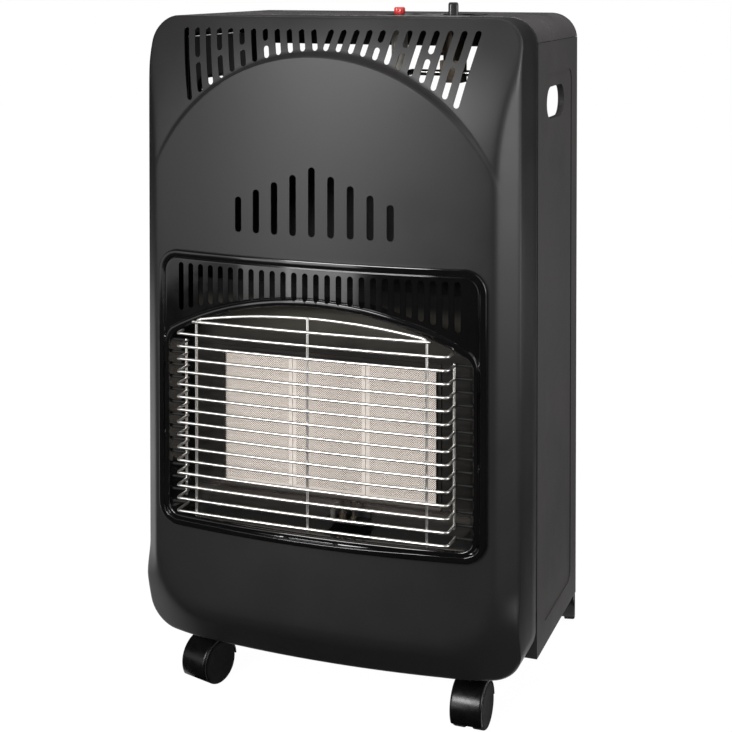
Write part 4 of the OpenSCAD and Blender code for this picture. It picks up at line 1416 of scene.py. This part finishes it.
@dataclass
class Controls:
    """Knob with a grip blade, and the igniter's ribbed button."""

    knob_x: float = 106.0
    button_x: float = 44.0
    depth: float = 132.0
    knob_low: float = 738.0
    knob_high: float = 755.0
    knob_turn: float = 17.0
    blade_half: float = 5.5
    blade_reach: float = 16.0
    blade_corner: float = 3.2
    button_low: float = 741.4
    button_high: float = 749.5
    rod_low: float = 717.0
    rod_radius: float = 4.0

    def build(self, shop: Workshop) -> None:
        """Makes both controls.

        Args:
            shop: Takes the pieces.
        """
        self.build_knob(shop)
        self.build_button(shop)

    def build_knob(self, shop: Workshop) -> None:
        """A round skirt, a drum and a blade with rounded edges.

        Args:
            shop: Takes the pieces.
        """
        low, high = self.knob_low, self.knob_high
        build = Build()
        origin = (self.knob_x, self.depth, 0)
        skirt = [(16.4, low), (17.2, low + 0.3), (17.5, low + 0.8), (17.5, low + 2.0), (17.1, low + 2.7),
                 (16.2, low + 3.0), (11.4, low + 3.2)]
        drum = [(11.4, low + 3.0), (11.0, low + 3.3), (11.0, low + 4.0), (10.7, low + 4.4), (10.0, low + 4.5)]
        lathe(build, skirt, origin, sides=72, ripple=upright_ribs(36, 0.2, low + 0.6, low + 2.4))
        lathe(build, drum, origin)
        flat = rounded_rectangle(-self.blade_half, -self.blade_reach, self.blade_half, self.blade_reach,
                                 self.blade_corner, 8, 4.0)
        turn = math.radians(self.knob_turn)
        spin = np.array([[math.cos(turn), math.sin(turn)], [-math.sin(turn), math.cos(turn)]])
        levels = [(0.0, low + 2.0), (0.0, high - 2.4), (0.25, high - 1.2), (0.9, high - 0.3), (1.8, high)]
        loft(build, flat @ spin + np.array([self.knob_x, self.depth]), levels)
        knob = build.piece("gas_knob", shop.frame)
        shop.hand_in(knob, "knob_black", "knob", ["control_knob"])

    def build_button(self, shop: Workshop) -> None:
        """A ribbed cap with a dished top on its push rod.

        Args:
            shop: Takes the pieces.
        """
        low, high = self.button_low, self.button_high
        build = Build()
        origin = (self.button_x, self.depth, 0)
        cap = [(5.0, low), (5.6, low + 0.5), (5.9, low + 1.2), (5.9, high - 1.4), (5.5, high - 0.5),
               (4.8, high), (3.8, high - 0.2), (2.0, high - 0.5)]
        rod = [(self.rod_radius, self.rod_low), (self.rod_radius, low + 0.5)]
        lathe(build, cap, origin, sides=96, ripple=upright_ribs(12, 0.3, low + 1, high - 1))
        lathe(build, rod, origin, sides=32)
        button = build.piece("igniter_cap", shop.frame)
        shop.hand_in(button, "button_red", "igniter_button", ["igniter_button"])


# ---- castors ----


@dataclass
class Castor:
    """One twin-wheel castor: its hood with the web, and two wheels."""

    corner: str
    trail: float = 15.0
    radius: float = 24.0
    width: float = 13.0
    inner: float = 4.4
    hood_gap: float = 1.2
    hood_wall: float = 2.0
    shoulder: float = 3.0
    hood_lip: float = 0.6
    hood_end: float = 209.0

    def build(self, shop: Workshop) -> None:
        """Makes the hood and both wheels round the frame's own axle.

        Args:
            shop: Takes the pieces.
        """
        joint = shop.frame.joints[f"castor_{self.corner}_wheel_a_spin"]
        middle = np.array(joint["pos_m"]) / MM - np.array([0.0, shop.frame.front_line, 0.0])
        axle = unit(np.array(joint["axis"], float))
        self.build_hood(shop, middle, axle)
        for letter, side in (("a", -1), ("b", 1)):
            self.build_wheel(shop, letter, middle, axle * side)

    def build_wheel(self, shop: Workshop, letter: str, middle: Array, out: Array) -> None:
        """A moulded wheel: round shoulders and a plain, slightly dished face.

        Args:
            shop: Takes the piece.
            letter: The wheel's letter.
            middle: Middle of the axle.
            out: Unit vector from the middle to this wheel.
        """
        r, w = self.radius, self.width
        profile = [(3.1, 0.0), (r - 1.6, 0.0), (r - 0.6, 0.3), (r, 1.0), (r, w - 2.4), (r - 0.35, w - 1.3),
                   (r - 1.1, w - 0.5), (r - 2.2, w - 0.1), (r - 3.6, w), (r - 6.0, w - 0.3), (12.0, w - 0.7),
                   (5.0, w - 0.9), (2.2, w - 0.9)]
        build = Build()
        lathe(build, profile, middle + out * self.inner, out, 64)
        wheel = build.piece(f"castor_{self.corner}_tyre_{letter}", shop.frame)
        shop.hand_in(wheel, "tyre_black", f"wheel_{self.corner}_{letter}",
                     [f"castor_wheel_{self.corner}_{letter}"])

    def hood_section(self) -> Array:
        """Cross section of the hood [along the axle, away from it], with round shoulders.

        Returns:
            Points, anticlockwise.
        """
        half = self.inner + self.width
        inside = self.radius + self.hood_gap
        outside = inside + self.hood_wall
        turn = np.radians(np.linspace(90, 0, 6))
        r = self.shoulder
        right = stack(half - r + r * np.cos(turn), outside - r * (1 - np.sin(turn)))
        left = (right * np.array([-1.0, 1.0]))[::-1]
        edge = half - 2 * self.hood_lip
        low = inside - self.hood_lip
        return np.concatenate([left, right, [[half, low], [edge, inside], [-edge, inside], [-half, low]]])

    def build_hood(self, shop: Workshop, middle: Array, axle: Array) -> None:
        """A curved hood over both wheels, the round web between them and the stem's neck.

        The hood is one rounded cross section carried about the axle, from behind the stem
        over the top and down in front of the wheels.

        Args:
            shop: Takes the piece.
            middle: Middle of the axle.
            axle: Unit vector along it.
        """
        section = self.hood_section()
        start = math.degrees(math.asin(2.0 / (self.radius + self.hood_gap + self.hood_wall)))
        angles = np.concatenate([[start], np.linspace(start + 4, self.hood_end - 3, 44), [self.hood_end]])
        behind = np.array([-axle[1], axle[0], 0.0])
        rings = []
        for angle in np.radians(angles):
            radial = math.cos(angle) * behind + math.sin(angle) * np.array(UP)
            rings.append(middle + section[:, :1] * axle + section[:, 1:] * radial)
        build = Build()
        build.add_grid(np.array(rings))
        web = [(18.6, -4.0), (19.6, -3.6), (20.0, -3.0), (20.0, 3.0), (19.6, 3.6), (18.6, 4.0)]
        lathe(build, web, middle, axle, 56)
        stem = middle + behind * self.trail
        neck = [(8.2, 40.0), (9.0, 40.4), (9.0, 56.6), (8.4, 57.5), (7.6, 57.7)]
        lathe(build, neck, (stem[0], stem[1], 0.0), sides=40)
        hood = build.piece(f"castor_{self.corner}_hood", shop.frame)
        shop.hand_in(hood, "castor_nylon", f"castor_{self.corner}",
                     [f"castor_hood_{self.corner}"])


# ---- stage ----


@dataclass
class Studio:
    """Pale floor, white surround, soft lamps and the camera."""

    camera_place: tuple[float, float, float] = (0.5927, -1.6517, 0.7877)
    camera_pitch: float = 88.812
    camera_turn: float = 20.245
    lens: float = 75.07
    lift: float = -0.4943
    light_on_object: float = 0.42
    floor_paint: Colour = (0.26, 0.26, 0.26)

    def build(self) -> None:
        """Sets up everything round the heater, with flags and lamps as their methods take them."""
        bpy.context.scene.view_settings.view_transform = "Standard"
        self.build_camera()
        self.build_world()
        self.build_floor()
        for name, place, turn, size in (
                ("front_flag", (0.60, -2.4, 1.1), (90.0, 0.0, 0.0), (2.2, 2.4)),
                ("floor_flag", (0.0, -1.30, 0.003), (0.0, 0.0, 0.0), (3.6, 2.3)),
                ("side_floor_flag", (1.45, 0.85, 0.004), (0.0, 0.0, 0.0), (2.4, 2.7)),
                ("overhead_flag", (0.0, -0.6, 2.1), (0.0, 0.0, 0.0), (3.0, 3.0)),
                ("back_flag", (0.5, 2.2, 1.0), (90.0, 0.0, 0.0), (3.8, 2.4)),
                ("left_flag", (-1.8, 0.8, 1.1), (90.0, 0.0, 90.0), (3.2, 2.8)),
                ("high_left_flag", (-1.75, -1.5, 1.7), (90.0, 0.0, -50.0), (1.5, 2.0))):
            self.build_flag(name, place, turn, size)
        for name, place, aim, size, power in (
                ("strip_right", (-0.66, -2.0, 0.22), (0.0, -0.2, 0.5), (0.45, 0.40), 2.0),
                ("strip_middle", (-1.05, -1.95, 0.22), (0.0, -0.2, 0.5), (0.35, 0.40), 1.1),
                ("strip_left", (-1.45, -1.85, 0.22), (0.0, -0.2, 0.5), (0.5, 0.40), 0.3),
                ("key", (-0.50, -2.15, 1.20), (0.0, -0.2, 0.60), (1.0, 0.7), 54.0),
                ("top", (0.1, -0.35, 2.5), (0.0, 0.0, 0.4), (1.6, 1.2), 38.0),
                ("side", (2.6, -0.45, 0.80), (0.0, 0.0, 0.45), (1.2, 1.2), 27.0),
                ("side_low", (1.3, 1.0, 0.16), (0.2, 0.2, 0.12), (0.8, 0.2), 1.4)):
            self.build_lamp(name, place, aim, size, power)

    def build_camera(self) -> None:
        """Puts the camera in front, a little to the right, with level sight lines."""
        data = bpy.data.cameras.new("camera")
        data.sensor_width = 36.0
        data.lens = self.lens
        data.shift_y = self.lift
        camera = new_object("camera", data)
        camera.location = self.camera_place
        camera.rotation_euler = (math.radians(self.camera_pitch), 0.0, math.radians(self.camera_turn))
        bpy.context.scene.camera = camera

    def build_world(self) -> None:
        """White where it is seen, mirrored or looked through to, and softer as light."""
        world = bpy.data.worlds.new("studio")
        shader = Shader(world)
        strength = shader.spread(shader.seen(), 0.0, 1.0, self.light_on_object, 1.0)
        white = {"Color": (1.0, 1.0, 1.0), "Strength": strength}
        shader.show(shader.node("ShaderNodeBackground", None, white))
        bpy.context.scene.world = world

    def build_card(self, name: str, size: Floats, material: bpy.types.Material) -> bpy.types.Object:
        """A flat card in one material, which is part of the stage.

        Args:
            name: The card's name.
            size: Its width and height in metres.
            material: Its material.

        Returns:
            The card, flat at the origin.
        """
        w, h = size[0] / 2, size[1] / 2
        mesh = bpy.data.meshes.new(name)
        mesh.from_pydata([(-w, -h, 0), (w, -h, 0), (w, h, 0), (-w, h, 0)], [], [(0, 1, 2, 3)])
        mesh.materials.append(material)
        card = new_object(name, mesh)
        card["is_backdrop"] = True
        return card

    def build_floor(self) -> None:
        """A wide pale floor that is nearly white to the eye and keeps a soft shadow."""
        shader = Shader(bpy.data.materials.new("floor_white"))
        paint = shader.node("ShaderNodeBsdfDiffuse", None, {"Color": self.floor_paint})
        glow = shader.node("ShaderNodeEmission", None, {"Color": (1.0, 1.0, 1.0), "Strength": 1.2})
        shader.show(shader.node("ShaderNodeMixShader", None, {0: shader.seen() * 0.82, 1: paint, 2: glow}))
        self.build_card("floor", (12.0, 12.0), shader.owner)

    def build_flag(self, name: str, place: Floats, turn: Floats, size: Floats) -> None:
        """A black card that only reflections see, which keeps gloss black dark.

        Args:
            name: The card's name.
            place: Its middle, in frame metres.
            turn: Its turn in degrees.
            size: Its width and height in metres.
        """
        shader = Shader(bpy.data.materials.new(name + "_cloth"))
        shader.show(shader.node("ShaderNodeBsdfDiffuse", None, {"Color": (0.004, 0.004, 0.004)}))
        card = self.build_card(name, size, shader.owner)
        card.location = place
        card.rotation_euler = [math.radians(a) for a in turn]
        card.visible_camera = False
        card.visible_diffuse = False
        card.visible_shadow = False
        card.visible_transmission = False

    def build_lamp(self, name: str, place: Floats, aim: Floats, size: Floats, power: float) -> None:
        """A rectangular soft lamp.

        Args:
            name: The lamp's name; a strip is seen by reflections alone.
            place: Its middle, in frame metres.
            aim: The point that it faces.
            size: Its width and height in metres.
            power: Its power in watts.
        """
        data = bpy.data.lights.new(name, "AREA")
        data.shape = "RECTANGLE"
        data.size, data.size_y = size
        data.energy = power
        lamp = new_object(name, data)
        lamp.location = place
        lamp.rotation_euler = (Vector(aim) - Vector(place)).to_track_quat("-Z", "Y").to_euler()
        lamp.visible_diffuse = not name.startswith("strip")


def main() -> None:
    """Builds the heater's looks and the studio round it."""
    logging.basicConfig(level=logging.INFO, format="%(name)s: %(message)s")
    frame = Frame()
    shop = Workshop(frame, Finishes())
    shop.finishes.dress_nodes(frame)
    housing = Housing()
    housing.build(shop)
    Surround(housing).build(shop)
    Guard().build(shop)
    Controls().build(shop)
    for corner in CORNERS:
        Castor(corner).build(shop)
    Studio().build()


if __name__ == "__main__":
    main()
